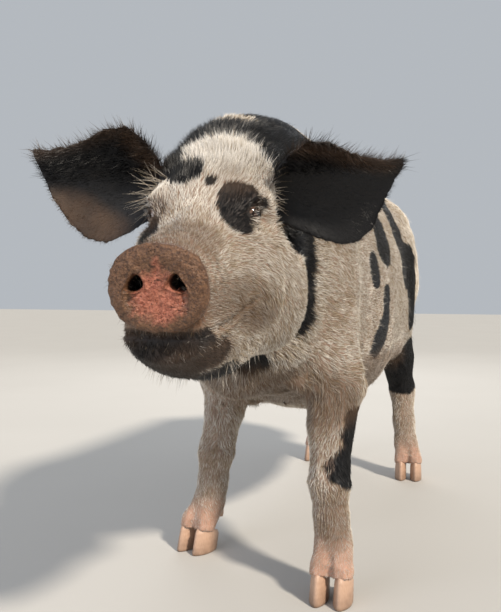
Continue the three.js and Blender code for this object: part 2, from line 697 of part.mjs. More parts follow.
const dewclawGeometry = (k, grow = 0) =>
  new THREE.SphereGeometry(1, 6, 4)
    .scale(DEWCLAW.radius + grow, DEWCLAW.radius + grow, DEWCLAW.length + grow)
    .rotateX(radians(24))
    .translate(k * DEWCLAW.spread, DEWCLAW.back, DEWCLAW.up);

LEGS.forEach((leg) => {
  const frame = footFrame(leg);
  const [x, y] = leg.foot;
  const lower = [Math.min(x, x - leg.side * 90) - 80, y - 130, 4];
  const upper = [Math.max(x, x - leg.side * 90) + 80, y + 190, leg.kind.top + 60];
  const claws = SIDES.map((k) => solidOf(dewclawGeometry(k, GAP), frame));
  const thigh = fleshIn([lower[0], lower[1], leg.kind.middle - 60], upper, THIGH_CELL)
    .intersect(legSpace(leg, 0))
    .subtract(shankSpace(leg, GAP));
  const shank = fleshIn(lower, [upper[0], upper[1], leg.kind.middle + 50], SHANK_CELL)
    .intersect(shankSpace(leg, 0))
    .subtract(hoofSpace(leg, 0))
    .simplify(PLAINNESS);
  add(`${leg.name}_upper`, geometryOf(largest(thigh).simplify(PLAINNESS)), WHITE_HIDE);
  add(`${leg.name}_lower`, geometryOf(largest(cutAway(shank, claws))), WHITE_HIDE);

  const foot = new THREE.Group();
  foot.applyMatrix4(frame);
  model.add(foot);
  SIDES.forEach((k) => {
    const which = k === leg.side ? 'outer' : 'inner';
    add(`${leg.name}_claw_${which}`, clawGeometry(k), HOOF_HORN, foot);
    add(`${leg.name}_dewclaw_${which}`, dewclawGeometry(k), HOOF_HORN, foot);
  });
});

// The origin moves to the middle of the underside of the box round the whole pig.
model.updateMatrixWorld(true);
const box = new THREE.Box3().setFromObject(model, true);
const middle = box.getCenter(new THREE.Vector3());
model.children.forEach((child) => {
  child.applyMatrix4(new THREE.Matrix4().makeTranslation(-middle.x, -middle.y, -box.min.z));
});

export default model;
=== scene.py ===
import logging
from collections.abc import Callable
from dataclasses import astuple, dataclass, field
from enum import Enum

import bmesh
import bpy
import numpy as np
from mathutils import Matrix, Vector
from mathutils.kdtree import KDTree


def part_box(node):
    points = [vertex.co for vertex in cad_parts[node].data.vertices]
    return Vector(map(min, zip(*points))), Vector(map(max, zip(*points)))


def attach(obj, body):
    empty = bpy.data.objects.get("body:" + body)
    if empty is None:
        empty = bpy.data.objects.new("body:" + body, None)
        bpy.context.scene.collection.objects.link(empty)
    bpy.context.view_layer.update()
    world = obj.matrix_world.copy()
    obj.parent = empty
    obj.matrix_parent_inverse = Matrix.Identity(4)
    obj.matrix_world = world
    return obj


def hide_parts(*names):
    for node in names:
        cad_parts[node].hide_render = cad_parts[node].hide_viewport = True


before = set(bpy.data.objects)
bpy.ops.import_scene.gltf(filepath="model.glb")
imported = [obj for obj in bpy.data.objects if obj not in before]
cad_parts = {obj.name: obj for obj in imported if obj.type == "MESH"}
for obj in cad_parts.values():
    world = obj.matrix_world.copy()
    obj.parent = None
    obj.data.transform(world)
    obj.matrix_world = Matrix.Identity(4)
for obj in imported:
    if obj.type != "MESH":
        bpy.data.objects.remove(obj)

# A young spotted pig, standing and looking at the viewer.
#
# One skin stands for every solid of flesh. Over it lie bristles, each a thin solid spike, combed
# along the body. Lengths are in millimetres where a name doesn't say otherwise, and the finished
# meshes are in metres. The pig faces -Y, its left is +X, and it stands on z = 0.

log = logging.getLogger("pig")
MM = 0.001
SEED = 41
Array = np.ndarray


# ---------------------------------------------------------------- arithmetic

def smooth_step(low: float, high: float, value: Array) -> Array:
    """A ramp from 0 at low to 1 at high that starts and ends level: 3t^2 - 2t^3."""
    t = np.clip((value - low) / (high - low), 0.0, 1.0)
    return t * t * (3.0 - 2.0 * t)


def bell(distance: Array, width: float) -> Array:
    """A bump of height 1 that falls off as exp(-(distance / width)^2)."""
    return np.exp(-np.square(distance / width))


def unit(vectors: Array) -> Array:
    """Each row brought to length 1."""
    return vectors / np.maximum(np.linalg.norm(vectors, axis=-1, keepdims=True), 1e-12)


def lattice_hash(cell: Array, seed: int) -> Array:
    """A number from 0 to 1 for each whole-number place, by mixing its three coordinates.

    Args:
        cell: Whole-number places, one per row.
        seed: Which of the many such patterns to read.

    Returns:
        One number per place.
    """
    x, y, z = (cell[..., k].astype(np.int64) for k in range(3))
    mixed = (x * 73856093) ^ (y * 19349663) ^ (z * 83492791) ^ (seed * 2654435761)
    mixed = (mixed ^ (mixed >> 13)) * 1274126177 & 0x7FFFFFFF
    return (mixed ^ (mixed >> 16)) / float(0x7FFFFFFF)


def cloud(points: Array, size: float, seed: int, octaves: int = 2) -> Array:
    """Soft noise from -1 to 1: numbers at lattice corners, blended along x, y and z in turn.

    Args:
        points: Places, one per row.
        size: Length of a lattice cell, in the points' unit.
        seed: Which pattern.
        octaves: How many patterns are added, each half as large and half as strong.

    Returns:
        One number per place.
    """
    total = np.zeros(len(points))
    for octave in range(octaves):
        place = points / size * 2.0 ** octave
        cell = np.floor(place).astype(np.int64)
        t = place - cell
        t = t * t * (3.0 - 2.0 * t)
        value = np.zeros(len(points))
        for corner in np.ndindex(2, 2, 2):
            share = np.prod(np.where(np.array(corner) == 1, t, 1.0 - t), axis=1)
            value += share * lattice_hash(cell + np.array(corner), seed + octave)
        total += (value * 2.0 - 1.0) * 0.5 ** octave
    return total


def turned(axis: str, degrees: float) -> Array:
    """The 3 x 3 matrix of a turn about one axis.

    Args:
        axis: "x", "y" or "z".
        degrees: The angle, by the right-hand rule.

    Returns:
        The matrix, which turns a column.
    """
    c, s = np.cos(np.radians(degrees)), np.sin(np.radians(degrees))
    a, b = {"x": (1, 2), "y": (2, 0), "z": (0, 1)}[axis]
    matrix = np.eye(3)
    matrix[a, a] = matrix[b, b] = c
    matrix[a, b], matrix[b, a] = -s, s
    return matrix


@dataclass(frozen=True)
class Space:
    """A turned frame: its own x is the pig's left, y is back along its length, z is up."""

    origin: Array
    matrix: Array

    def local(self, points: Array) -> Array:
        """Row-frame places in this frame."""
        return (points - self.origin) @ self.matrix

    def world(self, points: Array) -> Array:
        """This frame's places in the row frame."""
        return points @ self.matrix.T + self.origin

    def turn_out(self, vectors: Array) -> Array:
        """This frame's directions in the row frame."""
        return vectors @ self.matrix.T


def node_box(name: str) -> tuple[Array, Array]:
    """Lowest and highest corner of a CAD node in millimetres."""
    low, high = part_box(name)
    return np.array(low) / MM, np.array(high) / MM


def head_space() -> Space:
    """The head's frame: origin at the middle of the snout disc, yawed and pitched as the head is.

    Returns:
        The frame, its origin worked out from the disc's box.
    """
    matrix = turned("z", 11.0) @ turned("x", 12.0)
    half_disc = np.array([0.0, 10.0, 0.0])
    low, high = node_box("snout_disc")
    return Space((low + high) / 2.0 - matrix @ half_disc, matrix)


HEAD = head_space()


def foot_space(leg: str) -> Space:
    """A foot's frame: origin on the ground between its two claws, x from the right one to the left.

    Args:
        leg: The leg's name.

    Returns:
        The frame.
    """
    outer, inner = (sum(node_box(f"{leg}_claw_{which}")) / 2.0 for which in ("outer", "inner"))
    across = outer - inner if leg.endswith("left") else inner - outer
    across[2] = 0.0
    across = unit(across)
    up = np.array([0.0, 0.0, 1.0])
    middle = (outer + inner) / 2.0 * (1.0, 1.0, 0.0)
    return Space(middle, np.stack([across, np.cross(up, across), up], axis=1))


LEGS = ("foreleg_left", "foreleg_right", "hindleg_left", "hindleg_right")
FEET = {leg: foot_space(leg) for leg in LEGS}


# ---------------------------------------------------------------- meshes

@dataclass
class Shape:
    """A triangle mesh as arrays, in millimetres."""

    points: Array
    faces: Array

    def normals(self) -> Array:
        """The mean of the faces' normals round each point, larger faces counting for more.

        Returns:
            One unit vector per point.
        """
        corner = self.points[self.faces]
        cross = np.cross(corner[:, 1] - corner[:, 0], corner[:, 2] - corner[:, 0])
        total = np.zeros_like(self.points)
        for k in range(3):
            for axis in range(3):
                total[:, axis] += np.bincount(self.faces[:, k], cross[:, axis], len(self.points))
        return unit(total)

    def areas(self) -> Array:
        """The area of each face, half of the length of the cross product of two of its sides."""
        corner = self.points[self.faces]
        return np.linalg.norm(np.cross(corner[:, 1] - corner[:, 0], corner[:, 2] - corner[:, 0]), axis=1) / 2

    def neighbours(self) -> tuple[Array, Array, Array]:
        """Which points lie beside which.

        Returns:
            Every edge both ways, as two arrays of point numbers, and each point's number of edges.
        """
        pairs = np.concatenate([self.faces[:, [0, 1]], self.faces[:, [1, 2]], self.faces[:, [2, 0]]])
        edges = np.unique(np.sort(pairs, axis=1), axis=0)
        one = np.concatenate([edges[:, 0], edges[:, 1]])
        other = np.concatenate([edges[:, 1], edges[:, 0]])
        return one, other, np.maximum(np.bincount(one, minlength=len(self.points)), 1)


def joined(shapes: list[Shape]) -> Shape:
    """Several shapes as one.

    Args:
        shapes: The shapes to put together.

    Returns:
        One shape that holds all their points and faces.
    """
    starts = np.cumsum([0] + [len(shape.points) for shape in shapes[:-1]])
    faces = [shape.faces + start for shape, start in zip(shapes, starts)]
    return Shape(np.concatenate([shape.points for shape in shapes]), np.concatenate(faces))


def ball(centre: Array, radii: Array, sides: int, rings: int) -> Shape:
    """A squeezed ball on a grid of angles.

    Args:
        centre: Its middle.
        radii: Its reach along x, y and z.
        sides: Points round it.
        rings: Points from pole to pole.

    Returns:
        The closed shape.
    """
    u, v = np.meshgrid(np.arange(sides) * 2 * np.pi / sides, np.linspace(0, np.pi, rings), indexing="ij")
    place = np.stack([np.cos(u) * np.sin(v), np.sin(u) * np.sin(v), np.cos(v)], axis=-1)
    i, j = np.meshgrid(np.arange(sides), np.arange(rings - 1), indexing="ij")
    one, other = i * rings + j, (i + 1) % sides * rings + j
    quads = np.stack([one, one + 1, other + 1, other], axis=-1).reshape(-1, 4)
    faces = np.concatenate([quads[:, [0, 1, 2]], quads[:, [0, 2, 3]]])
    return Shape(place.reshape(-1, 3) * radii + centre, faces)


def shape_of_mesh(mesh: bpy.types.Mesh) -> Shape:
    """A Blender mesh as arrays.

    Args:
        mesh: The mesh, in metres.

    Returns:
        Its points in millimetres, and its faces cut into triangles.
    """
    points = np.empty(len(mesh.vertices) * 3, np.float32)
    mesh.vertices.foreach_get("co", points)
    mesh.calc_loop_triangles()
    faces = np.empty(len(mesh.loop_triangles) * 3, np.int32)
    mesh.loop_triangles.foreach_get("vertices", faces)
    return Shape(points.reshape(-1, 3).astype(float) / MM, faces.reshape(-1, 3).astype(np.int64))


def solid_of_node(name: str) -> Shape:
    """A CAD node's solid with its doubled points merged.

    Args:
        name: The node.

    Returns:
        A closed shape.
    """
    loose = shape_of_mesh(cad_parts[name].data)
    places = np.round(loose.points * 100.0).astype(np.int64)
    _, first, back = np.unique(places, axis=0, return_index=True, return_inverse=True)
    return Shape(loose.points[first], back.ravel()[loose.faces])


def mesh_of_shape(name: str, shape: Shape) -> bpy.types.Mesh:
    """A Blender mesh, in metres, from arrays in millimetres.

    Args:
        name: The mesh's name.
        shape: Points and triangles.

    Returns:
        The mesh, smooth shaded.
    """
    mesh = bpy.data.meshes.new(name)
    count = len(shape.faces)
    mesh.vertices.add(len(shape.points))
    mesh.vertices.foreach_set("co", (shape.points * MM).astype(np.float32).ravel())
    mesh.loops.add(count * 3)
    mesh.loops.foreach_set("vertex_index", shape.faces.astype(np.int32).ravel())
    mesh.polygons.add(count)
    mesh.polygons.foreach_set("loop_start", np.arange(0, count * 3, 3, dtype=np.int32))
    mesh.update(calc_edges=True)
    mesh.polygons.foreach_set("use_smooth", np.ones(count, bool))
    return mesh


def new_object(name: str, mesh: bpy.types.ID) -> bpy.types.Object:
    """An object at the origin.

    Args:
        name: Its name.
        mesh: The mesh, lamp or camera that it holds.

    Returns:
        The object.
    """
    made = bpy.data.objects.new(name, mesh)
    bpy.context.scene.collection.objects.link(made)
    return made


def set_attributes(mesh: bpy.types.Mesh, values: dict[str, Array]) -> None:
    """Number attributes on the points of a mesh, for its material to read."""
    for name, numbers in values.items():
        layer = mesh.attributes.new(name, "FLOAT", "POINT")
        layer.data.foreach_set("value", numbers.astype(np.float32))


def through_modifier(shape: Shape, kind: str, weights: Array | None = None, **settings: object) -> Shape:
    """A shape after one of Blender's modifiers.

    Args:
        shape: The shape to change.
        kind: The modifier's type.
        weights: Numbers from 0 to 1, one per point, for a modifier that reads a vertex group.
        settings: The modifier's own settings.

    Returns:
        The changed shape.
    """
    holder = new_object("holder", mesh_of_shape("holder", shape))
    if weights is not None:
        group = holder.vertex_groups.new(name="share")
        levels = np.round(weights * 8).astype(int)
        for level in np.unique(levels):
            group.add(np.flatnonzero(levels == level).tolist(), level / 8.0, "REPLACE")
        settings["vertex_group"] = "share"
    modifier = holder.modifiers.new("change", kind)
    for name, value in settings.items():
        setattr(modifier, name, value)
    evaluated = holder.evaluated_get(bpy.context.evaluated_depsgraph_get())
    fresh = bpy.data.meshes.new_from_object(evaluated)
    out = shape_of_mesh(fresh)
    old = holder.data
    bpy.data.objects.remove(holder)
    bpy.data.meshes.remove(old)
    bpy.data.meshes.remove(fresh)
    return out


def relaxed(shape: Shape, rounds: int, keep: float) -> Array:
    """Smoothing that doesn't shrink: a step towards the neighbours' mean, then one away.

    The first step is half of the way. The second is slightly longer and outward, so that waves
    longer than about 2 pi / sqrt(2 keep) edges come through and shorter ones die out.

    Args:
        shape: The shape to smooth.
        rounds: How many pairs of steps.
        keep: The edge of what is kept, smaller for smoother.

    Returns:
        The new points.
    """
    one, other, degree = shape.neighbours()
    count = len(shape.points)
    points = shape.points.copy()
    inward = 0.5
    outward = 1.0 / (keep - 1.0 / inward)
    for step in [inward, outward] * rounds:
        mean = np.stack([np.bincount(one, points[other, k], count) for k in range(3)], axis=1)
        points += step * (mean / degree[:, None] - points)
    return points


def cut(shape: Shape, passes: int, lift: float, chosen: Callable[[bmesh.types.BMEdge], bool]) -> Shape:
    """The shape with some of its edges cut in half.

    Args:
        shape: The shape to refine.
        passes: How often to look for edges to cut.
        lift: 0 to leave the new points on the old edges, 1 to lift them onto a rounded surface.
        chosen: Tells whether an edge is cut.

    Returns:
        A closed shape with more points.
    """
    mesh = mesh_of_shape("finer", shape)
    work = bmesh.new()
    work.from_mesh(mesh)
    for _ in range(passes):
        work.normal_update()
        halved = [edge for edge in work.edges if chosen(edge)]
        bmesh.ops.subdivide_edges(work, edges=halved, cuts=1, smooth=lift, use_grid_fill=True)
        bmesh.ops.triangulate(work, faces=work.faces[:])
    work.to_mesh(mesh)
    work.free()
    out = shape_of_mesh(mesh)
    bpy.data.meshes.remove(mesh)
    return out


def tube_faces(rings: int, sides: int) -> Array:
    """The triangles between rings of points, which turn from x to y as they rise.

    Args:
        rings: How many rings there are.
        sides: How many points each has.

    Returns:
        Triangles that face outwards.
    """
    i, j = np.meshgrid(np.arange(rings - 1), np.arange(sides), indexing="ij")
    a, b = i * sides + j, i * sides + (j + 1) % sides
    quads = np.stack([a, b, b + sides, a + sides], axis=-1).reshape(-1, 4)
    return np.concatenate([quads[:, [0, 1, 2]], quads[:, [0, 2, 3]]])


# ---------------------------------------------------------------- markings

class Where(Enum):
    """Which frame a patch is placed in."""

    BODY = "body"
    HEAD = "head"


@dataclass(frozen=True)
class Patch:
    """A fat line from start to end. Its radii are its reach along the frame's x, y and z."""

    where: Where
    start: tuple[float, float, float]
    end: tuple[float, float, float]
    radii: tuple[float, float, float]
    strength: float = 1.0

    def reach(self, body: Array, head: Array) -> Array:
        """How far inside the patch each place is, in millimetres, negative outside.

        The space is squeezed by the radii, so that the fat line is one unit thick all round.

        Args:
            body: Places in the row frame.
            head: The same places in the head's frame.

        Returns:
            One distance per place.
        """
        radii = np.array(self.radii)
        place = (head if self.where is Where.HEAD else body) / radii
        start, end = np.array(self.start) / radii, np.array(self.end) / radii
        along = end - start
        share = np.clip((place - start) @ along / max(along @ along, 1e-9), 0.0, 1.0)
        gap = np.linalg.norm(place - start - share[:, None] * along, axis=1)
        return (1.0 - gap) * radii.min()


def spot(where: Where, centre: tuple, radii: tuple, strength: float = 1.0) -> Patch:
    """A patch whose line has no length."""
    return Patch(where, centre, centre, radii, strength)


BLACK_AND_SHADE_PATCHES = [
    # the head: right brow and nape, a small spot, round the left eye, the right muzzle, the chin
    Patch(Where.HEAD, (-80, 270, 112), (-28, 218, 107), (24, 30, 19)),
    # Just under the disc, a black band where the disc's overhang casts its shadow: partly a marking, partly
    # painted shade.
    Patch(Where.HEAD, (-50, 20, -57), (40, 20, -57), (20, 26, 12)),
    Patch(Where.HEAD, (-66, 300, 110), (-72, 430, 100), (34, 60, 60)),
    spot(Where.HEAD, (11, 200, 97), (9, 10, 10)),
    Patch(Where.HEAD, (48, 195, 84), (50, 164, 52), (27, 21, 21), 0.92),
    spot(Where.HEAD, (-56, 182, 64), (26, 26, 20), 0.45),
    spot(Where.HEAD, (70, 208, 62), (20, 20, 15), 0.8),
    Patch(Where.HEAD, (-62, 160, 36), (-44, 46, 30), (24, 26, 24)),
    spot(Where.HEAD, (-14, 36, -79), (68, 84, 37), 0.96),
    Patch(Where.HEAD, (4, 110, -128), (4, 345, -190), (58, 60, 38)),
    # before the left ear, the nape, the withers and the strip behind the left cheek
    Patch(Where.HEAD, (80, 320, 128), (108, 272, 46), (32, 34, 28)),
    Patch(Where.HEAD, (0, 392, 130), (0, 560, 170), (150, 84, 84)),
    Patch(Where.BODY, (112, -405, 640), (92, -410, 530), (60, 66, 44)),
    Patch(Where.BODY, (90, -400, 530), (82, -388, 452), (50, 48, 24), 0.95),
    # the left flank, from the shoulder to the thigh
    Patch(Where.BODY, (92, 126, 655), (102, 136, 583), (80, 64, 26)),
    Patch(Where.BODY, (100, 22, 562), (103, 44, 526), (80, 33, 19)),
    Patch(Where.BODY, (106, 126, 500), (102, 132, 430), (80, 34, 22)),
    Patch(Where.BODY, (102, 124, 432), (90, 92, 380), (80, 50, 24)),
    Patch(Where.BODY, (50, 350, 740), (95, 384, 625), (90, 72, 40)),
    Patch(Where.BODY, (98, 424, 605), (102, 446, 540), (90, 92, 34)),
    Patch(Where.BODY, (102, 494, 525), (102, 496, 425), (80, 58, 22)),
    Patch(Where.BODY, (88, 530, 345), (70, 550, 262), (90, 80, 36)),
    Patch(Where.BODY, (136, -228, 290), (126, -254, 200), (72, 50, 22)),
    # the right side, the back and the right hind leg
    Patch(Where.BODY, (-200, -80, 690), (-235, 40, 560), (80, 66, 52)),
    spot(Where.BODY, (-235, 250, 480), (80, 80, 56)),
    spot(Where.BODY, (-215, -240, 450), (70, 50, 40)),
    Patch(Where.BODY, (-150, 440, 720), (-225, 520, 560), (90, 66, 48)),
    spot(Where.BODY, (-170, 590, 300), (90, 60, 60)),
    spot(Where.BODY, (10, 150, 800), (74, 80, 60)),
]
PALE_PATCHES = [
    spot(Where.BODY, (90, 462, 640), (70, 26, 14)),
    spot(Where.BODY, (-56, -338, 780), (36, 22, 16)),
    Patch(Where.HEAD, (4, 286, 116), (-6, 340, 122), (48, 38, 36)),
]
DIRT_AND_SHADE_PATCHES = [
    Patch(Where.HEAD, (66, 60, -30), (78, 128, -38), (40, 40, 28), 0.7),
    # Along the mouth to its corner on the left: partly mud, partly painted shade in the fold at the corner.
    Patch(Where.HEAD, (66, 100, -42), (66, 150, -62), (40, 30, 20), 1.0),
    Patch(Where.HEAD, (-62, 40, -40), (-72, 110, -44), (40, 50, 34), 0.7),
    Patch(Where.HEAD, (-10, 26, 46), (10, 84, 50), (56, 34, 26), 0.75),
    spot(Where.HEAD, (30, 60, -88), (60, 60, 30), 0.5),
    spot(Where.HEAD, (-52, 172, 62), (26, 30, 24), 0.55),
    spot(Where.HEAD, (40, 206, 84), (30, 34, 30), 0.4),
    Patch(Where.BODY, (0, -330, 330), (0, 380, 320), (150, 120, 58), 0.85),
    spot(Where.BODY, (106, -310, 128), (40, 40, 48), 0.6),
    Patch(Where.HEAD, (-150, 246, 30), (-205, 240, 62), (30, 30, 26), 0.6),
    Patch(Where.HEAD, (119, 225, 130), (221, 266, 106), (12, 24, 8), 0.7),
    Patch(Where.HEAD, (-82, 261, 116), (-105, 246, 150), (10, 24, 12), 0.7),
    Patch(Where.HEAD, (-112, 246, 164), (-235, 240, 140), (20, 30, 7), 0.6),
]


def marking(body: Array, patches: list[Patch], softness: float, seed: int) -> Array:
    """How strongly places are marked: the deepest patch, its edge frayed by soft noise.

    Args:
        body: Places in the row frame.
        patches: The patches to read.
        softness: Half of the width over which an edge fades.
        seed: Which noise frays the edges.

    Returns:
        A number from 0 to 1 per place.
    """
    head = HEAD.local(body)
    fray = cloud(body, 34.0, seed, 3)
    level = np.zeros(len(body))
    for patch in patches:
        depth = patch.reach(body, head)
        ragged = depth + fray * min(6.0, 0.22 * min(patch.radii))
        level = np.maximum(level, patch.strength * smooth_step(-softness, softness, ragged))
    return level


# ---------------------------------------------------------------- finishes

def linear(colour: str) -> tuple[float, float, float, float]:
    """A colour written as sRGB hex, in the linear values that a shader takes.

    Args:
        colour: Six hex digits.

    Returns:
        Red, green, blue and 1.
    """
    parts = [int(colour[k:k + 2], 16) / 255.0 for k in (0, 2, 4)]
    bent = [v / 12.92 if v <= 0.04045 else ((v + 0.055) / 1.055) ** 2.4 for v in parts]
    return (*bent, 1.0)


COLOUR = {"data_type": "RGBA"}
TIMES, PLUS = {"operation": "MULTIPLY"}, {"operation": "ADD"}
MINUS, LARGER = {"operation": "SUBTRACT"}, {"operation": "MAXIMUM"}
Socket = bpy.types.NodeSocket
Input = float | str | tuple | Socket


def named(attribute: str) -> dict[str, str]:
    """The setting that makes an Attribute node read one number attribute of the mesh."""
    return {"attribute_name": attribute}


def per_metre(size: float) -> float:
    """A pattern's scale, which counts cells in a metre, from one cell's width."""
    return 1.0 / (size * MM)


class Finish:
    """A material under construction, with one way to add a node."""

    def __init__(self, name: str) -> None:
        """Starts a material with only its shader and output."""
        self.material = bpy.data.materials.new(name)
        self.material.use_nodes = True
        self.tree = self.material.node_tree

    def plug(self, node: bpy.types.Node, inputs: dict[str, Input]) -> None:
        """Sets or links a node's inputs.

        Args:
            node: The node.
            inputs: A value, a colour in hex or another node's output for each socket, by its name
                with underscores for spaces or by the letter i and its number.
        """
        for name, value in inputs.items():
            key = int(name[1:]) if name[1:].isdigit() else name.replace("_", " ")
            if isinstance(value, bpy.types.NodeSocket):
                self.tree.links.new(value, node.inputs[key])
            else:
                node.inputs[key].default_value = linear(value) if isinstance(value, str) else value

    def add(self, kind: str, out: int | str = 0, settings: dict | None = None, **inputs: Input) -> Socket:
        """Adds a node, with its settings and what goes into it.

        Args:
            kind: The node's type, without the words ShaderNode.
            out: Which output is wanted, by number or name.
            settings: Attributes of the node itself.
            inputs: What goes into its sockets, as plug takes it.

        Returns:
            The wanted output.
        """
        node = self.tree.nodes.new("ShaderNode" + kind)
        for name, value in (settings or {}).items():
            setattr(node, name, value)
        self.plug(node, inputs)
        return node.outputs[out]

    def finish(self, **sockets: Input) -> bpy.types.Material:
        """Sets the shader's sockets."""
        self.plug(self.tree.nodes["Principled BSDF"], sockets)
        return self.material


def markings(body: Array) -> Array:
    """How black places are, with the pale patches laid over the black ones."""
    return marking(body, BLACK_AND_SHADE_PATCHES, 2.2, 3) * (1.0 - marking(body, PALE_PATCHES, 3.0, 4))


@dataclass(frozen=True)
class HideFinish:
    """Live pig skin, colours in hex and the widths of its patterns in millimetres."""

    flesh: str = "b98f7a"
    flushed: str = "c49a86"
    veined: str = "7d6355"
    # The skin's grey under the coat is partly its own colour, partly painted shade from the bristles over it.
    under_coat_grey_and_shade: str = "75675a"
    black: str = "0c0c0f"
    dirt: str = "55402f"
    disc_red: str = "733a29"
    disc_pale: str = "b0705a"
    disc_mud: str = "3f2a1e"
    disc_dust: str = "73543d"
    # The pit colour is painted shade, laid into the disc's pores and crumbs.
    pit: str = "1c100b"
    # The next colour is painted shade, far inside the nostrils.
    nostril_shade: str = "0c0705"
    mottle: float = 26.3
    grain: float = 2.38
    blotch: float = 18.2
    streak: float = 3.33
    crumb: float = 5.88
    pore: float = 3.03

    def disc_colour(self, f: Finish, place: Socket) -> tuple[Socket, Socket]:
        """Reddish in the middle, caked with thin mud outward, with crumbs 6 mm wide and 3 mm pores that are
        sunk and darkened as painted shade.

        Args:
            f: The material being made.
            place: Object coordinates.

        Returns:
            The colour's output and the pores' depth output.
        """
        blotch = f.add("TexNoise", "Fac", Vector=place, Scale=per_metre(self.blotch), Detail=9.0,
                       Roughness=0.72)
        uneven = f.add("Math", 0, TIMES, i0=f.add("Math", 0, MINUS, i0=blotch, i1=0.5), i1=2.2)
        worn = f.add("Math", 0, PLUS, i0=f.add("Attribute", "Fac", named("raw")), i1=uneven)
        share = f.add("MapRange", Value=worn, i1=0.4, i2=1.0)
        streak = f.add("TexNoise", "Fac", Vector=place, Scale=per_metre(self.streak), Detail=4.0,
                       Roughness=0.7)
        sharp = f.add("MapRange", Value=streak, i1=0.35, i2=0.65)
        red = f.add("Mix", 2, COLOUR, i0=sharp, i6=self.disc_red, i7=self.disc_pale)
        mud = f.add("Mix", 2, COLOUR, i0=sharp, i6=self.disc_mud, i7=self.disc_dust)
        wide = f.add("Mapping", Vector=place, Scale=(0.45, 0.6, 1.5))
        crumbs = f.add("TexNoise", "Fac", Vector=wide, Scale=per_metre(self.crumb), Detail=5.0,
                       Roughness=0.75)
        crumbs = f.add("MapRange", Value=crumbs, i1=0.6, i2=0.68)
        cells = f.add("TexVoronoi", "Distance", Vector=place, Scale=per_metre(self.pore))
        hole = f.add("MapRange", Value=cells, i1=0.12, i2=0.3, i3=1.0, i4=0.0)
        some = f.add("MapRange", Value=blotch, i1=0.5, i2=0.6)
        pit_depth_and_shade = f.add("Math", 0, LARGER, i0=f.add("Math", 0, TIMES, i0=crumbs, i1=0.9),
                     i1=f.add("Math", 0, TIMES, i0=hole, i1=some))
        skin = f.add("Mix", 2, COLOUR, i0=share, i6=mud, i7=red)
        # Pores and crumbs are darkened towards the pit colour: painted shade in these sunk places.
        dark = f.add("Math", 0, TIMES, i0=pit_depth_and_shade, i1=0.8)
        return f.add("Mix", 2, COLOUR, i0=dark, i6=skin, i7=self.pit), pit_depth_and_shade

    def material(self) -> bpy.types.Material:
        """Flesh greyed under the coat, partly its own colour and partly painted shade, black where marked,
        muddy where dirty, near black as painted shade far inside the nostrils and in the disc's pits, and the
        moist disc.

        Returns:
            The material.
        """
        # Warm living skin is matt and slightly waxy: light enters it a little, and its sheen is
        # broad except on the disc, which is kept moist and so shines.
        f = Finish("live_pig_hide")
        place = f.add("TexCoord", "Object")
        mottle = f.add("TexNoise", "Fac", Vector=place, Scale=per_metre(self.mottle), Detail=6.0)
        grain = f.add("TexNoise", "Fac", Vector=place, Scale=per_metre(self.grain), Detail=4.0)
        # Where the coat grows the skin is greyed: partly its own colour, partly painted shade under the
        # bristles.
        down = f.add("Math", 0, TIMES, i0=f.add("Attribute", "Fac", named("down")), i1=0.85)
        greyed_and_shaded = f.add("Mix", 2, COLOUR, i0=down, i6=self.flesh, i7=self.under_coat_grey_and_shade)
        bare = f.add("Mix", 2, COLOUR, i0=f.add("Attribute", "Fac", named("flush")), i6=greyed_and_shaded,
                     i7=self.flushed)
        vein = f.add("Math", 0, TIMES, i0=mottle, i1=0.35)
        tinted = f.add("Mix", 2, COLOUR, i0=vein, i6=bare, i7=self.veined)
        marked = f.add("Mix", 2, COLOUR, i0=f.add("Attribute", "Fac", named("mark")), i6=tinted,
                       i7=self.black)
        # The dirt mask also holds painted shade along the mouth's corner.
        caked = f.add("Math", 0, TIMES, i0=f.add("Attribute", "Fac", named("dirt")),
                      i1=f.add("Math", 0, PLUS, i0=mottle, i1=0.3))
        dirty = f.add("Mix", 2, COLOUR, i0=caked, i6=marked, i7=self.dirt)
        disc, pit_depth_and_shade = self.disc_colour(f, place)
        nose = f.add("Attribute", "Fac", named("disc"))
        outside = f.add("Mix", 2, COLOUR, i0=nose, i6=dirty, i7=disc)
        # Far inside the nostrils the colour goes near black: painted shade.
        colour = f.add("Mix", 2, COLOUR, i0=f.add("Attribute", "Fac", named("hollow")), i6=outside,
                       i7=self.nostril_shade)
        skin_height = f.add("Math", 0, PLUS, i0=f.add("Math", 0, TIMES, i0=grain, i1=0.5), i1=mottle)
        disc_height = f.add("Math", 0, MINUS, i0=f.add("Math", 0, TIMES, i0=grain, i1=1.8),
                            i1=f.add("Math", 0, TIMES, i0=pit_depth_and_shade, i1=2.4))
        height = f.add("Mix", i0=nose, i2=skin_height, i3=disc_height)
        bump = f.add("Bump", Strength=0.65, Distance=1.6 * MM, Height=height)
        rough = f.add("MapRange", Value=f.add("Attribute", "Fac", named("wet")), i1=0.0, i2=1.0,
                      i3=0.62, i4=0.2)
        return f.finish(Base_Color=colour, Roughness=rough, Normal=bump, Subsurface_Weight=0.05,
                        Subsurface_Radius=(5.0 * MM, 2.0 * MM, 1.0 * MM), IOR=1.4)


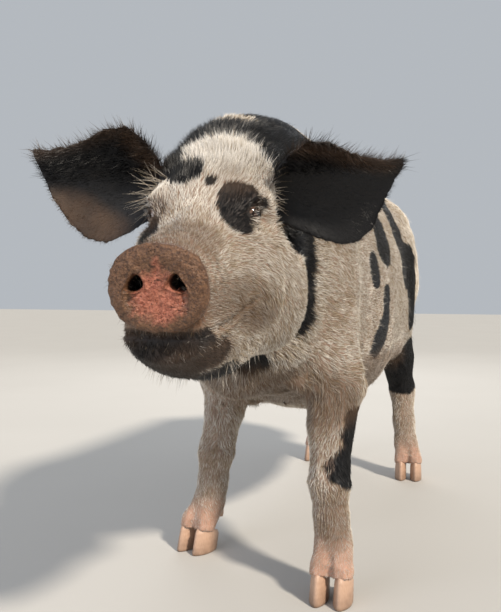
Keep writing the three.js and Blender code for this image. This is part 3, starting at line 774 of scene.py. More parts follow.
@dataclass(frozen=True)
class BristleFinish:
    """Pig bristle, from its root to its tip, in white, straw and black."""

    white_root_with_shade: str = "8a7f70"
    white_tip: str = "f6f2eb"
    straw_root_with_shade: str = "4a3d30"
    straw_tip: str = "b09a78"
    black_root: str = "08080a"
    black_tip_sheen: str = "0c0d12"
    dirt: str = "5f4936"

    def material(self) -> bpy.types.Material:
        """Root to tip, white to straw by its tone or black by the marking, dulled by dirt; the darker roots
        are partly painted shade, and black tips carry a painted bluish sheen.

        Returns:
            The material.
        """
        # Keratin is hard and smooth along the bristle, so each one glints dully on its own.
        f = Finish("pig_bristle")
        along = f.add("Attribute", "Fac", named("along"))
        tone = f.add("Attribute", "Fac", named("tone"))
        # Each pale bristle darkens towards its root: partly the hair's own colour, partly painted shade where
        # the bristles lie over each other.
        white = f.add("Mix", 2, COLOUR, i0=along, i6=self.white_root_with_shade, i7=self.white_tip)
        straw = f.add("Mix", 2, COLOUR, i0=along, i6=self.straw_root_with_shade, i7=self.straw_tip)
        pale = f.add("Mix", 2, COLOUR, i0=tone, i6=white, i7=straw)
        # Black bristles turn bluish towards their tips: a painted sheen.
        worn = f.add("Math", 0, TIMES, i0=along, i1=tone)
        black = f.add("Mix", 2, COLOUR, i0=worn, i6=self.black_root, i7=self.black_tip_sheen)
        marked = f.add("Mix", 2, COLOUR, i0=f.add("Attribute", "Fac", named("mark")), i6=pale, i7=black)
        # The dirt also carries painted shade along the mouth's corner.
        dusty = f.add("Math", 0, TIMES, i0=f.add("Attribute", "Fac", named("dirt")), i1=0.72)
        dirty = f.add("Mix", 2, COLOUR, i0=dusty, i6=marked, i7=self.dirt)
        return f.finish(Base_Color=dirty, Roughness=0.42, Specular_IOR_Level=0.32, IOR=1.55)


@dataclass(frozen=True)
class HornFinish:
    """Hoof horn, colours in hex and the widths of its patterns in millimetres."""

    horn: str = "a88670"
    pale: str = "c9a890"
    mud: str = "5e4838"
    grain: float = 1.43
    ring: float = 27.8
    patch: float = 11.1
    muddy_height: float = 0.03

    def material(self) -> bpy.types.Material:
        """Upright grain in two browns, muddier near the ground.

        Returns:
            The material.
        """
        # Horn grows down in fine upright fibres and in faint rings, and the ground scuffs it dull.
        f = Finish("hoof_horn")
        place = f.add("TexCoord", "Object")
        stretched = f.add("Mapping", Vector=place, Scale=(1.0, 1.0, 0.12))
        grain = f.add("TexNoise", "Fac", Vector=stretched, Scale=per_metre(self.grain), Detail=4.0)
        rings = f.add("TexWave", "Fac", {"bands_direction": "Z"}, Vector=place,
                      Scale=per_metre(self.ring), Distortion=3.0, Detail=2.0)
        colour = f.add("Mix", 2, COLOUR, i0=grain, i6=self.horn, i7=self.pale)
        high = f.add("SeparateXYZ", "Z", Vector=place)
        near = f.add("MapRange", Value=high, i1=0.0, i2=self.muddy_height, i3=0.85, i4=0.15)
        patchy = f.add("TexNoise", "Fac", Vector=place, Scale=per_metre(self.patch), Detail=5.0)
        caked = f.add("Math", 0, TIMES, i0=near, i1=f.add("Math", 0, PLUS, i0=patchy, i1=0.3))
        muddy = f.add("Mix", 2, COLOUR, i0=caked, i6=colour, i7=self.mud)
        height = f.add("Math", 0, PLUS, i0=grain, i1=f.add("Math", 0, TIMES, i0=rings, i1=0.5))
        bump = f.add("Bump", Strength=0.5, Distance=0.6 * MM, Height=height)
        return f.finish(Base_Color=muddy, Roughness=0.48, Normal=bump, IOR=1.54)


@dataclass(frozen=True)
class EyeFinish:
    """A wet eye, colours in hex and the flecks' width in millimetres."""

    pupil: str = "050404"
    iris: str = "2f1a0e"
    iris_pale: str = "4a2c18"
    white: str = "6e5748"
    fleck: float = 1.11

    def material(self) -> bpy.types.Material:
        """Rings of colour by the distance from the middle of the gaze.

        Returns:
            The material.
        """
        # The cornea is a clear wet coat, so the dark brown iris lies under a sharp highlight.
        f = Finish("wet_eye")
        gaze = f.add("Attribute", "Fac", named("gaze"))
        inner = f.add("MapRange", Value=gaze, i1=0.42, i2=0.5)
        outer = f.add("MapRange", Value=gaze, i1=0.9, i2=1.05)
        place = f.add("TexCoord", "Object")
        fleck = f.add("TexNoise", "Fac", Vector=place, Scale=per_metre(self.fleck), Detail=3.0)
        iris = f.add("Mix", 2, COLOUR, i0=fleck, i6=self.iris, i7=self.iris_pale)
        within = f.add("Mix", 2, COLOUR, i0=inner, i6=self.pupil, i7=iris)
        colour = f.add("Mix", 2, COLOUR, i0=outer, i6=within, i7=self.white)
        return f.finish(Base_Color=colour, Roughness=0.08, IOR=1.376, Coat_Weight=1.0,
                        Coat_Roughness=0.03)


@dataclass(frozen=True)
class FloorFinish:
    """Pale painted studio floor, colours in hex and its clouds' width in millimetres."""

    paint: str = "b9b7b3"
    shade: str = "b3b1ad"
    cloud: float = 500.0

    def material(self) -> bpy.types.Material:
        """One pale colour, with the faintest unevenness.

        Returns:
            The material.
        """
        # Rolled emulsion is matt, so it takes soft shadows and shows no highlight.
        f = Finish("studio_floor_paint")
        place = f.add("TexCoord", "Object")
        cloudy = f.add("TexNoise", "Fac", Vector=place, Scale=per_metre(self.cloud))
        paint = f.add("Mix", 2, COLOUR, i0=cloudy, i6=self.paint, i7=self.shade)
        return f.finish(Base_Color=paint, Roughness=0.8)


# ---------------------------------------------------------------- the skin

EYES = ("eye_left", "eye_right")
FLESH = [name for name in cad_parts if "claw" not in name and not name.startswith("eye")]


class Part(Enum):
    """The stretches of the body that have their own coat."""

    TRUNK = "trunk"
    NECK = "neck"
    HEAD = "head"
    JAW = "jaw"
    DISC = "snout_disc"
    EAR_LEFT = "ear_left"
    EAR_RIGHT = "ear_right"
    UPPER_LEG = "upper"
    LOWER_LEG = "lower"
    TAIL = "tail"


def part_of(name: str) -> Part:
    """The part that a CAD node belongs to."""
    return next(part for part in Part if name == part.value or name.endswith("_" + part.value))


PARTS = list(Part)
EARS = (Part.EAR_LEFT, Part.EAR_RIGHT)
COAT_DEPTHS = {
    Part.TRUNK: 4.0, Part.NECK: 4.0, Part.HEAD: 2.0, Part.JAW: 2.0, Part.DISC: 0.4,
    Part.EAR_LEFT: 1.0, Part.EAR_RIGHT: 1.0, Part.UPPER_LEG: 3.0, Part.LOWER_LEG: 1.6, Part.TAIL: 1.5,
}


def in_parts(owner: Array, *parts: Part) -> Array:
    """True where a place's part, as its number in PARTS, is one of these."""
    return np.isin(owner, [PARTS.index(part) for part in parts])


@dataclass(frozen=True)
class Nostril:
    """A nostril: a slanted oval pit in the disc, with a raised lip."""

    side: float = 22.5
    up: float = 5.0
    half_width: float = 9.6
    half_height: float = 6.0
    slant: float = 42.0
    middle: float = -2.0
    taper: float = 0.45
    bow: float = 0.25
    depth: float = 26.0
    lip: float = 1.6
    trail: float = 3.2

    def pushed_in(self, x: Array, z: Array) -> Array:
        """How far back the disc's face goes. The pit is an oval with soft edges, deeper inside.

        Args:
            x: Sideways places on the disc.
            z: Upright places on the disc.

        Returns:
            The distance back, negative where the lip stands out.
        """
        across, up = np.abs(x - self.middle) - self.side, z - self.up
        c, s = np.cos(np.radians(self.slant)), np.sin(np.radians(self.slant))
        a = (across * c - up * s) / self.half_width
        b = (across * s + up * c) / self.half_height
        b = b * (1.0 + self.taper * a) - self.bow * a * a
        ring = np.sqrt(a * a + b * b)
        pit = self.depth * smooth_step(1.12, 0.5, ring) ** 1.3
        trail = self.trail * bell(across - 6.0, 4.0) * bell(up + 13.0, 8.0)
        return pit + trail - self.lip * bell(ring - 1.4, 0.24)


@dataclass(frozen=True)
class Disc:
    """The snout disc's face, a shallow dish in a thick rim: depths back from its plane."""

    half_width: float = 53.5
    half_height: float = 47.0
    square: float = 2.25
    plane: float = -0.8
    edge: float = 2.4
    rim: float = 1.2
    dish: float = 1.6
    groove: float = 1.4
    lumps: tuple[float, float] = (1.0, 0.5)
    nostril: Nostril = Nostril()

    def ring(self, head: Array) -> Array:
        """How far out places are, 1 at the edge: (|x / width|^n + |z / height|^n)^(1 / n)."""
        x, z = np.abs(head[:, 0] / self.half_width), np.abs(head[:, 2] / self.half_height)
        return (x ** self.square + z ** self.square) ** (1.0 / self.square)

    def depth(self, head: Array) -> Array:
        """How far back the face lies: rolled back at the edge, dished in the middle, and lumpy.

        Args:
            head: Places in the head's frame.

        Returns:
            One depth per place.
        """
        ring, x, z = self.ring(head), head[:, 0], head[:, 2]
        edge = self.edge * np.clip((ring - 0.78) / 0.2, 0.0, 1.0) ** 2.0
        rim = -self.rim * bell(ring - 0.74, 0.14)
        dish = self.dish * smooth_step(0.7, 0.2, ring)
        groove = self.groove * bell(x, 3.0) * smooth_step(10.0, -20.0, z)
        flat = np.stack([x, x * 0.0, z], axis=1)
        lumps = self.lumps[0] * cloud(flat, 13.0, 5, 3) + self.lumps[1] * cloud(flat, 4.0, 7, 2)
        return self.plane + edge + rim + dish + groove + self.nostril.pushed_in(x, z) + lumps


@dataclass(frozen=True)
class Mouth:
    """The line of the mouth, and the heights of the lips beside it and the creases at its corner."""

    line: float = -53.0
    start: float = 20.0
    corner: float = 150.0
    slope: float = 0.02
    rise: float = 9.0
    groove: float = 2.0
    parting: float = 2.5
    upper_lip: float = 1.8
    lower_lip: float = 1.6
    chin: float = 1.2
    crease: float = 1.6

    def height(self, head: Array) -> Array:
        """Height above the line of the mouth, which rises to its corner and dips at the front.

        Args:
            head: Places in the head's frame.

        Returns:
            One height per place.
        """
        back = np.clip(head[:, 1] - self.start, -20.0, 140.0)
        line = self.line + self.slope * back + self.rise * np.square(np.clip(back / 132.0, 0.0, 1.2))
        return head[:, 2] - line

    def relief(self, head: Array, clear: Array) -> Array:
        """A groove along the mouth, lips that swell beside it, and creases round its corner.

        Args:
            head: Places in the head's frame.
            clear: 0 on the disc, 1 off it.

        Returns:
            How far out the skin goes, one number per place.
        """
        height, back = self.height(head), head[:, 1]
        along = smooth_step(self.corner + 10.0, 122.0, back) * clear
        front = smooth_step(24.0, 70.0, back)
        groove = -(self.groove + self.parting * front) * bell(height, 2.4)
        lip = self.upper_lip * bell(height - 8.0, 5.0) + self.lower_lip * bell(height + 7.5, 4.5)
        under = -self.chin * bell(height + 17.0, 5.0)
        corner = bell(back - self.corner, 22.0) * bell(height, 26.0)
        crease = -self.crease * np.cos((back - self.corner) / 3.4 + height * 0.05) * corner
        return (groove + lip * front + under) * along + crease


@dataclass(frozen=True)
class Lids:
    """The two lids of an eye and the folds round them, sizes along the opening and across it."""

    radius: float = 15.0
    thickness: float = 2.4
    half_length: float = 10.5
    upper: float = 1.5
    lower: float = 1.7
    reach: float = 34.0
    slant: float = 14.0
    aim: tuple[float, float, float] = (0.89, -0.42, 0.14)
    shift: tuple[float, float] = (2.5, -2.8)

    def opening(self, along: Array, across: Array) -> Array:
        """How far inside the opening a place is: two parabolas that meet at the corners.

        Args:
            along: Places along the opening.
            across: Places across it, up positive.

        Returns:
            The distance in millimetres, negative on the lids.
        """
        arch = 1.0 - np.square(along / self.half_length)
        height = np.where(across > 0.0, self.upper, self.lower) * arch
        return height - np.abs(across)

    def folds(self, along: Array, across: Array) -> Array:
        """Height of the folds: rolls along the lids, creases behind them, and a brow above.

        Args:
            along: Places along the opening.
            across: Places across it, up positive.

        Returns:
            The height in millimetres.
        """
        ring = np.sqrt(np.square(along / 1.55) + np.square(across))
        roll = 0.9 * bell(ring - 8.0, 2.2)
        crease = -1.1 * bell(ring - 12.5, 1.5) - 0.9 * bell(ring - 18.0, 1.6)
        puff = 1.1 * bell(ring - 15.2, 1.8) + 0.7 * bell(ring - 21.0, 2.5)
        brow = 4.5 * bell(across - 22.0, 8.0) * bell(along, 24.0)
        return roll + (crease + puff) * (0.65 + 0.35 * np.cos(along / 5.0)) + brow


@dataclass
class Skin:
    """One skin over the whole body, with the face's folds and the markings in its attributes."""

    grain: float = 3.4
    puff: float = 1.0
    body_edge: float = 0.055
    head_edge: float = 0.26
    share_kept: float = 0.165
    longest_edge: float = 14.0
    disc: Disc = Disc()
    mouth: Mouth = Mouth()
    lids: Lids = Lids()
    muzzle_fold: float = 0.9
    cheek_fold: float = 2.0
    toe_cleft: float = 6.5
    teat_pairs: int = 6
    teat_side: float = 38.0
    teat_sunk: float = 3.0
    teat_radii: tuple[float, float, float] = (5.5, 5.5, 10.0)
    area_per_sample: float = 70.0
    shape: Shape | None = None
    part: Array | None = None
    values: dict[str, Array] = field(default_factory=dict)
    eye_axes: dict[str, Array] = field(default_factory=dict)
    teat_places: list[Array] = field(default_factory=list)

    def teats(self) -> Shape:
        """Two rows of small pegs under the belly, each a squeezed ball on a grid of angles.

        Returns:
            All the teats.
        """
        low, high = node_box("trunk")
        places = np.linspace(low[1] + 190.0, high[1] - 260.0, self.teat_pairs)
        rows = []
        for side in (-1, 1):
            for place in places:
                belly = self.belly_height(side * self.teat_side, place)
                centre = np.array([side * self.teat_side, place, belly + self.teat_sunk])
                self.teat_places.append(centre)
                rows.append(ball(centre, np.array(self.teat_radii), sides=12, rings=8))
        return joined(rows)

    def plugs(self) -> Shape:
        """Balls that fill the eye sockets, for the lids to be carved from."""
        reach = np.full(3, self.lids.radius + self.lids.thickness)
        return joined([ball(HEAD.world(self.eye_centre(name)[None])[0], reach, sides=32, rings=20)
                       for name in EYES])

    def belly_height(self, x: float, y: float) -> float:
        """Height of the trunk's underside at a place, on the lowest face that lies over it.

        Args:
            x: Sideways place.
            y: Place along the body.

        Returns:
            The height.
        """
        solid = solid_of_node("trunk")
        a, b, c = (solid.points[solid.faces[:, k]] for k in range(3))
        one, two, place = b - a, c - a, np.array([x, y, 0.0]) - a
        area = one[:, 0] * two[:, 1] - one[:, 1] * two[:, 0]
        area = np.where(np.abs(area) < 1e-9, 1e-9, area)
        v = (place[:, 0] * two[:, 1] - place[:, 1] * two[:, 0]) / area
        w = (one[:, 0] * place[:, 1] - one[:, 1] * place[:, 0]) / area
        over = (v >= 0.0) & (w >= 0.0) & (v + w <= 1.0)
        return float((a[:, 2] + v * one[:, 2] + w * two[:, 2])[over].min())

    def build(self) -> None:
        """Joins the flesh into one shape, smooths it, thins it, and carves the face."""
        solids = [solid_of_node(name) for name in FLESH]
        for solid in solids:
            solid.points += solid.normals() * self.puff
        whole = through_modifier(joined(solids + [self.teats(), self.plugs()]), "REMESH", mode="VOXEL",
                                 voxel_size=self.grain * MM)
        log.info("remeshed to %d points", len(whole.points))
        self.shape = whole
        self.part = self.nearest_part(whole.points)
        body = self.bodily(whole.points)
        gentle = relaxed(whole, rounds=14, keep=self.head_edge)
        strong = relaxed(whole, rounds=70, keep=self.body_edge)
        whole.points = gentle + (strong - gentle) * body[:, None]
        log.info("smoothed")
        self.shape = through_modifier(whole, "DECIMATE", weights=0.12 + 0.88 * body,
                                      ratio=self.share_kept)
        log.info("thinned to %d faces", len(self.shape.faces))
        self.shape = cut(self.shape, 4, 1.0, lambda edge: edge.calc_length() > self.longest_edge * MM)
        log.info("evened to %d faces", len(self.shape.faces))
        head = HEAD.local(self.shape.points)
        head = self.softened(head, self.lip_share(head), rounds=50, keep=0.05)
        head = self.softened(head, self.rim_share(head), rounds=12, keep=0.15)
        head = self.softened(head, self.eye_share(head), rounds=30, keep=0.08)
        self.shape.points = HEAD.world(head)
        for level in range(3):
            fine = self.delicate(self.shape.points, level).tolist()
            self.shape = cut(self.shape, 1, 0.0, lambda edge: all(fine[end.index] for end in edge.verts))
        log.info("refined to %d faces", len(self.shape.faces))
        self.carve()
        self.part = self.nearest_part(self.shape.points)
        self.colour()

    def nearest_part(self, points: Array) -> Array:
        """Which part each place belongs to, by the nearest of many points strewn on the solids.

        Args:
            points: Places on the skin.

        Returns:
            The part's number in PARTS, one per place.
        """
        rng = np.random.default_rng(SEED)
        strewn, owner = [], []
        for name in FLESH:
            solid = solid_of_node(name)
            area = solid.areas()
            count = int(area.sum() / self.area_per_sample)
            face = rng.choice(len(area), count, p=area / area.sum())
            share = rng.dirichlet((1, 1, 1), count)
            strewn.append(np.einsum("nk,nkd->nd", share, solid.points[solid.faces[face]]))
            owner.append(np.full(count, PARTS.index(part_of(name))))
        strewn, owner = np.concatenate(strewn), np.concatenate(owner)
        tree = KDTree(len(strewn))
        for index, place in enumerate(strewn.tolist()):
            tree.insert(place, index)
        tree.balance()
        found = [tree.find(place)[1] for place in points.tolist()]
        return owner[np.array(found)]

    def bodily(self, points: Array) -> Array:
        """1 on the trunk, neck and thighs, 0 on the head, ears, feet and tail, soft between.

        Args:
            points: Places on the skin.

        Returns:
            One number per place.
        """
        head = HEAD.local(points)
        behind = smooth_step(230.0, 330.0, head[:, 1])
        above = smooth_step(190.0, 300.0, points[:, 2])
        return behind * above * ~in_parts(self.part, *EARS, Part.TAIL)

    def eye_centre(self, name: str) -> Array:
        """Middle of an eye node's box, in the head's frame."""
        low, high = node_box(name)
        return HEAD.local(((low + high) / 2.0)[None])[0]

    def eye_share(self, head: Array) -> Array:
        """1 over both eyes, 0 elsewhere."""
        gaps = [np.linalg.norm(head - self.eye_centre(name), axis=1) for name in EYES]
        return smooth_step(34.0, 24.0, np.minimum(*gaps))

    def eye_frame(self, name: str) -> Array:
        """The directions along the opening, across it and out of it, in the head's frame.

        Args:
            name: The eye's CAD node.

        Returns:
            Three rows.
        """
        lids, side = self.lids, np.sign(self.eye_centre(name)[0])
        outer = unit(np.array([[lids.aim[0] * side, lids.aim[1], lids.aim[2]]]))[0]
        tilt = np.array([0.0, -np.cos(np.radians(lids.slant)), -np.sin(np.radians(lids.slant))])
        length = unit((tilt - outer * (tilt @ outer))[None])[0]
        upward = np.cross(length, outer)
        return np.stack([length, upward * np.sign(upward[2]), outer])

    def delicate(self, points: Array, level: int) -> Array:
        """Which places need finer faces: the disc, the mouth and the eyes.

        Args:
            points: Places on the skin.
            level: 0 for all of them, 1 for the nostrils, the mouth's line and the lids, 2 for
                the edges of the lids alone.

        Returns:
            True for each such place.
        """
        head = HEAD.local(points)
        x, y, z = head.T
        chosen = np.zeros(len(head), bool)
        if level < 2:
            nostril = self.disc.nostril
            pit = np.hypot(np.abs(x) - nostril.side, z - nostril.up) < 15.0
            chosen = (y < 26.0) & (pit if level else np.abs(z) < 60.0)
            chosen |= (np.abs(self.mouth.height(head)) < (3.5 if level else 9.0)) & (y < 160.0)
        for name in EYES:
            offset = head - self.eye_centre(name)
            along, across, out = self.eye_frame(name) @ offset.T
            edge = (np.abs(along + self.lids.shift[0]) < 15.0) & (np.abs(across + self.lids.shift[1]) < 7.0)
            near = np.linalg.norm(offset, axis=1) < (36.0, 20.5, 22.0)[level]
            chosen |= near & (edge & (out > 0.0) if level == 2 else near)
        return chosen

    def carve(self) -> None:
        """Cuts the nostrils, the mouth, the lids and the folds into the head."""
        shape = self.shape
        head = HEAD.local(shape.points)
        normal = shape.normals() @ HEAD.matrix
        head = self.carve_disc(head, normal)
        head = self.softened(head, self.rim_share(head), rounds=10, keep=0.05)
        head = self.carve_mouth(head, normal)
        for name in EYES:
            head = self.carve_eye(name, head)
        head = self.carve_folds(head, normal)
        shape.points = HEAD.world(head)
        shape.points = self.carve_feet(shape.points, shape.normals())

    def carve_feet(self, points: Array, normal: Array) -> Array:
        """Parts the toes with a cleft down the front and back of each foot, above the horn.

        Args:
            points: Places on the skin.
            normal: Their normals.

        Returns:
            The new places.
        """
        out = points.copy()
        for space in FEET.values():
            place = space.local(points)
            near = np.hypot(place[:, 0], place[:, 1]) < 75.0
            rise = smooth_step(92.0, 52.0, place[:, 2]) * (place[:, 2] < 100.0)
            cleft = -self.toe_cleft * bell(place[:, 0], 5.0) * rise * np.abs(normal @ space.matrix)[:, 1]
            swell = 0.7 * bell(place[:, 2] - 50.0, 9.0) * (1.0 - bell(place[:, 0], 7.0))
            out += normal * ((cleft + swell) * near)[:, None]
        return out

    def lip_share(self, head: Array) -> Array:
        """1 on the front of the jaw and the lip under the disc, 0 elsewhere."""
        return smooth_step(-40.0, -46.0, head[:, 2]) * smooth_step(120.0, 70.0, head[:, 1])

    def rim_share(self, head: Array) -> Array:
        """1 round the disc's edge, 0 elsewhere."""
        y, z, ring = head[:, 1], head[:, 2], self.disc.ring(head)
        return smooth_step(0.72, 0.84, ring) * smooth_step(36.0, 28.0, y) * smooth_step(-52.0, -48.0, z)

    def softened(self, head: Array, share: Array, rounds: int, keep: float) -> Array:
        """Places relaxed where share is 1 and left alone where it is 0."""
        soft = relaxed(Shape(head, self.shape.faces), rounds, keep)
        return head + (soft - head) * share[:, None]

    def carve_disc(self, head: Array, normal: Array) -> Array:
        """Resets the disc's face to a shallow dish with a thick rim, two nostrils and wrinkles.

        Args:
            head: Places in the head's frame.
            normal: Normals in the head's frame.

        Returns:
            The new places.
        """
        y, ring = head[:, 1], self.disc.ring(head)
        face = smooth_step(0.98, 0.86, ring) * np.maximum(ring < 0.75, smooth_step(8.0, 3.0, y)) * (y < 30.0)
        out = head.copy()
        out[:, 1] = y + (self.disc.depth(head) - y) * face
        side = bell(ring - 1.0, 0.14) * (y < 26.0)
        return out + normal * (1.3 * cloud(head, 5.0, 8, 3) * side)[:, None]

    def carve_mouth(self, head: Array, normal: Array) -> Array:
        """Cuts the mouth from below the disc to its corner.

        Args:
            head: Places in the head's frame.
            normal: Normals in the head's frame.

        Returns:
            The new places.
        """
        below = smooth_step(1.0, 1.06, self.disc.ring(head))
        clear = np.maximum(below, smooth_step(22.0, 28.0, head[:, 1]))
        return head + normal * self.mouth.relief(head, clear)[:, None]

    def carve_eye(self, name: str, head: Array) -> Array:
        """Wraps lids round an eyeball: skin on a ball just over the eye, sunk within the opening.

        Args:
            name: The eye's CAD node.
            head: Places in the head's frame.

        Returns:
            The new places.
        """
        lids, offset = self.lids, head - self.eye_centre(name)
        gap = np.linalg.norm(offset, axis=1)
        frame_of_eye = self.eye_frame(name)
        outer = self.eye_axes[name] = frame_of_eye[2]
        along, across, out = frame_of_eye @ offset.T
        spread = np.hypot(along, across)
        near = smooth_step(lids.reach, 14.0, spread) * (out > -8.0) * (gap < 60.0)
        reach = lids.radius + lids.thickness
        dome = np.sqrt(np.maximum(np.square(reach) - np.square(spread), 0.0))
        dome = np.where(spread < reach, dome, 0.0)
        wrap = smooth_step(reach + 3.0, 10.0, spread) * (out > -8.0)
        lid = out + (np.maximum(out, dome) - out) * wrap
        lid = lid + (dome - lid) * wrap * 0.8
        lid = lid + lids.folds(along, across) * near * smooth_step(7.0, 9.0, spread)
        opening = lids.opening(along + lids.shift[0], across + lids.shift[1])
        inside = smooth_step(-0.2, 0.8, opening) * wrap
        inner = np.sqrt(np.maximum(np.square(reach - 5.5) - np.square(spread), 0.0))
        lid = lid + (inner - lid) * inside
        return head + outer * (lid - out)[:, None]

    def carve_folds(self, head: Array, normal: Array) -> Array:
        """Wrinkles over the muzzle, hollows before the eyes, and folds of the cheek.

        Args:
            head: Places in the head's frame.
            normal: Normals in the head's frame.

        Returns:
            The new places.
        """
        x, y, z = head.T
        wavy = cloud(head, 60.0, 12, 2)
        muzzle = smooth_step(20.0, 34.0, y) * smooth_step(110.0, 55.0, y) * smooth_step(-30.0, 15.0, z)
        across = -self.muzzle_fold * np.cos(y / 2.9 + wavy * 3.0 + np.abs(x) * 0.06) * muzzle
        cheek = bell(y - 205.0 - 0.25 * (z + 40.0), 16.0) * bell(z + 50.0, 60.0)
        folded = -self.cheek_fold * np.cos((y - 205.0) / 5.5 + wavy * 2.0) * cheek * (np.abs(x) > 55.0)
        lumpy = 1.3 * cloud(head, 42.0, 19, 2) * smooth_step(330.0, 260.0, y) * smooth_step(20.0, 40.0, y)
        return head + normal * (across + folded + lumpy)[:, None]

    def colour(self) -> None:
        """Works out each point's marking, dirt, flush and down, the painted shade far inside the nostrils,
        and how far it is sunk in a fold; the marking, the dirt and the down also carry painted shade.
        """
        body = self.shape.points
        head = HEAD.local(body)
        x, y, z = head.T
        mark = np.maximum(markings(body), in_parts(self.part, *EARS))
        ring = self.disc.ring(head)
        frayed = ring + 0.05 * cloud(head, 9.0, 21, 3)
        disc = smooth_step(34.0, 24.0, y) * smooth_step(1.10, 1.03, frayed)
        raw = smooth_step(1.0, 0.3, np.hypot(x / 46.0, (z + 8.0) / 44.0)) * disc
        streak = bell(x, 9.0) * smooth_step(-10.0, 5.0, z) * smooth_step(42.0, 25.0, z)
        raw = np.maximum(raw, 0.75 * disc * streak)
        wet = disc * (0.35 + 0.65 * bell(np.abs(x) - 24.0, 7.0) * bell(z + 12.0, 9.0))
        # hollow marks the painted shade far inside the nostrils.
        hollow = smooth_step(6.0, 11.0, y) * smooth_step(0.8, 0.6, ring) * (y < 60.0)
        low = smooth_step(150.0, 60.0, body[:, 2])
        dirt = marking(body, DIRT_AND_SHADE_PATCHES, 14.0, 6)
        dirt = np.maximum(dirt, 0.4 * low * (0.6 + 0.4 * cloud(body, 25.0, 9, 3)))
        rim = bell(ring - 1.02, 0.14) * (y < 40.0)
        dirt = np.maximum(dirt, 0.85 * rim)
        flush = 0.9 * smooth_step(120.0, 40.0, body[:, 2])
        lids = np.zeros(len(body))
        for name in EYES:
            gap = np.linalg.norm(head - self.eye_centre(name), axis=1)
            lids = np.maximum(lids, smooth_step(19.0, 16.5, gap))
            mark = np.maximum(mark, 0.85 * smooth_step(24.0, 19.0, gap))
        for teat in self.teat_places:
            gap = np.hypot(body[:, 0] - teat[0], body[:, 1] - teat[1])
            lids = np.maximum(lids, smooth_step(11.0, 8.0, gap) * (np.abs(body[:, 2] - teat[2]) < 30.0))
        sunk = np.sum((relaxed(self.shape, rounds=14, keep=0.05) - body) * self.shape.normals(), axis=1)
        self.values = {
            "fold": np.clip(sunk / 4.0, 0.0, 1.0),
            "mark": np.clip(mark * (1.0 - disc), 0.0, 1.0),
            "dirt": np.clip(dirt, 0.0, 1.0),
            "flush": np.clip(flush, 0.0, 1.0),
            "down": np.clip(1.0 - np.maximum(disc, flush), 0.0, 1.0),
            "bald": np.clip(np.maximum(disc, lids), 0.0, 1.0),
            "disc": disc, "raw": raw, "wet": np.clip(wet, 0.0, 1.0), "hollow": hollow,
        }

    def coat_depth(self) -> Array:
        """How far under the solids' surface the skin lies: deepest on the trunk, none on the disc.

        Returns:
            One depth per point.
        """
        table = np.array([COAT_DEPTHS[part] for part in PARTS])
        depth = table[self.part] + self.puff
        one, other, degree = self.shape.neighbours()
        for _ in range(12):
            depth = 0.5 * depth + 0.5 * np.bincount(one, depth[other], len(depth)) / degree
        return depth

    def show(self, material: bpy.types.Material) -> bpy.types.Object:
        """Sinks the skin by the coat's depth and makes its object.

        Args:
            material: The hide.

        Returns:
            The object.
        """
        self.shape.points = self.shape.points - self.shape.normals() * self.coat_depth()[:, None]
        mesh = mesh_of_shape("skin", self.shape)
        set_attributes(mesh, self.values)
        mesh.materials.append(material)
        skin = new_object("skin", mesh)
        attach(skin, "root")
        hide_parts(*FLESH)
        return skin


# ---------------------------------------------------------------- the coat

@dataclass(frozen=True)
class Lock:
    """How the bristles of one part lie: sizes in millimetres, angles in degrees."""

    gap: float
    length: float
    width: float
    lift: float
    stray: float


LOCKS = {
    Part.TRUNK: Lock(gap=2.9, length=13.0, width=1.25, lift=6.0, stray=12.0),
    Part.NECK: Lock(gap=2.8, length=17.0, width=1.35, lift=9.0, stray=14.0),
    Part.HEAD: Lock(gap=2.1, length=11.0, width=0.95, lift=10.0, stray=13.0),
    Part.JAW: Lock(gap=2.2, length=12.0, width=1.0, lift=12.0, stray=16.0),
    Part.EAR_LEFT: Lock(gap=2.5, length=6.5, width=0.6, lift=5.0, stray=14.0),
    Part.EAR_RIGHT: Lock(gap=2.5, length=6.5, width=0.6, lift=5.0, stray=14.0),
    Part.UPPER_LEG: Lock(gap=2.6, length=11.0, width=1.15, lift=6.0, stray=12.0),
    Part.LOWER_LEG: Lock(gap=2.4, length=9.0, width=1.0, lift=8.0, stray=12.0),
    Part.TAIL: Lock(gap=2.6, length=16.0, width=1.0, lift=16.0, stray=18.0),
}


@dataclass
class Roots:
    """Where bristles grow: places, normals, parts and the skin's values there."""

    points: Array
    normals: Array
    part: Array
    values: dict[str, Array]

    def only(self, chosen: Array) -> "Roots":
        """The chosen ones alone."""
        values = {name: numbers[chosen] for name, numbers in self.values.items()}
        return Roots(self.points[chosen], self.normals[chosen], self.part[chosen], values)


@dataclass(frozen=True)
class Stretch:
    """A stretch of the body whose short coat is one piece."""

    name: str
    slot: str
    space: Space
    parts: tuple[Part, ...]
    side: int = 0
    fore: float = -np.inf
    aft: float = np.inf

    def holds(self, roots: Roots) -> Array:
        """Which roots are in it: those of its parts, on its side and between its two ends.

        Args:
            roots: All the roots.

        Returns:
            True for each such root.
        """
        left = self.space.local(roots.points)[:, 0] >= 0.0
        y = roots.points[:, 1]
        on_side = (self.side >= 0) & left | (self.side <= 0) & ~left
        return in_parts(roots.part, *self.parts) & on_side & (y >= self.fore) & (y < self.aft)


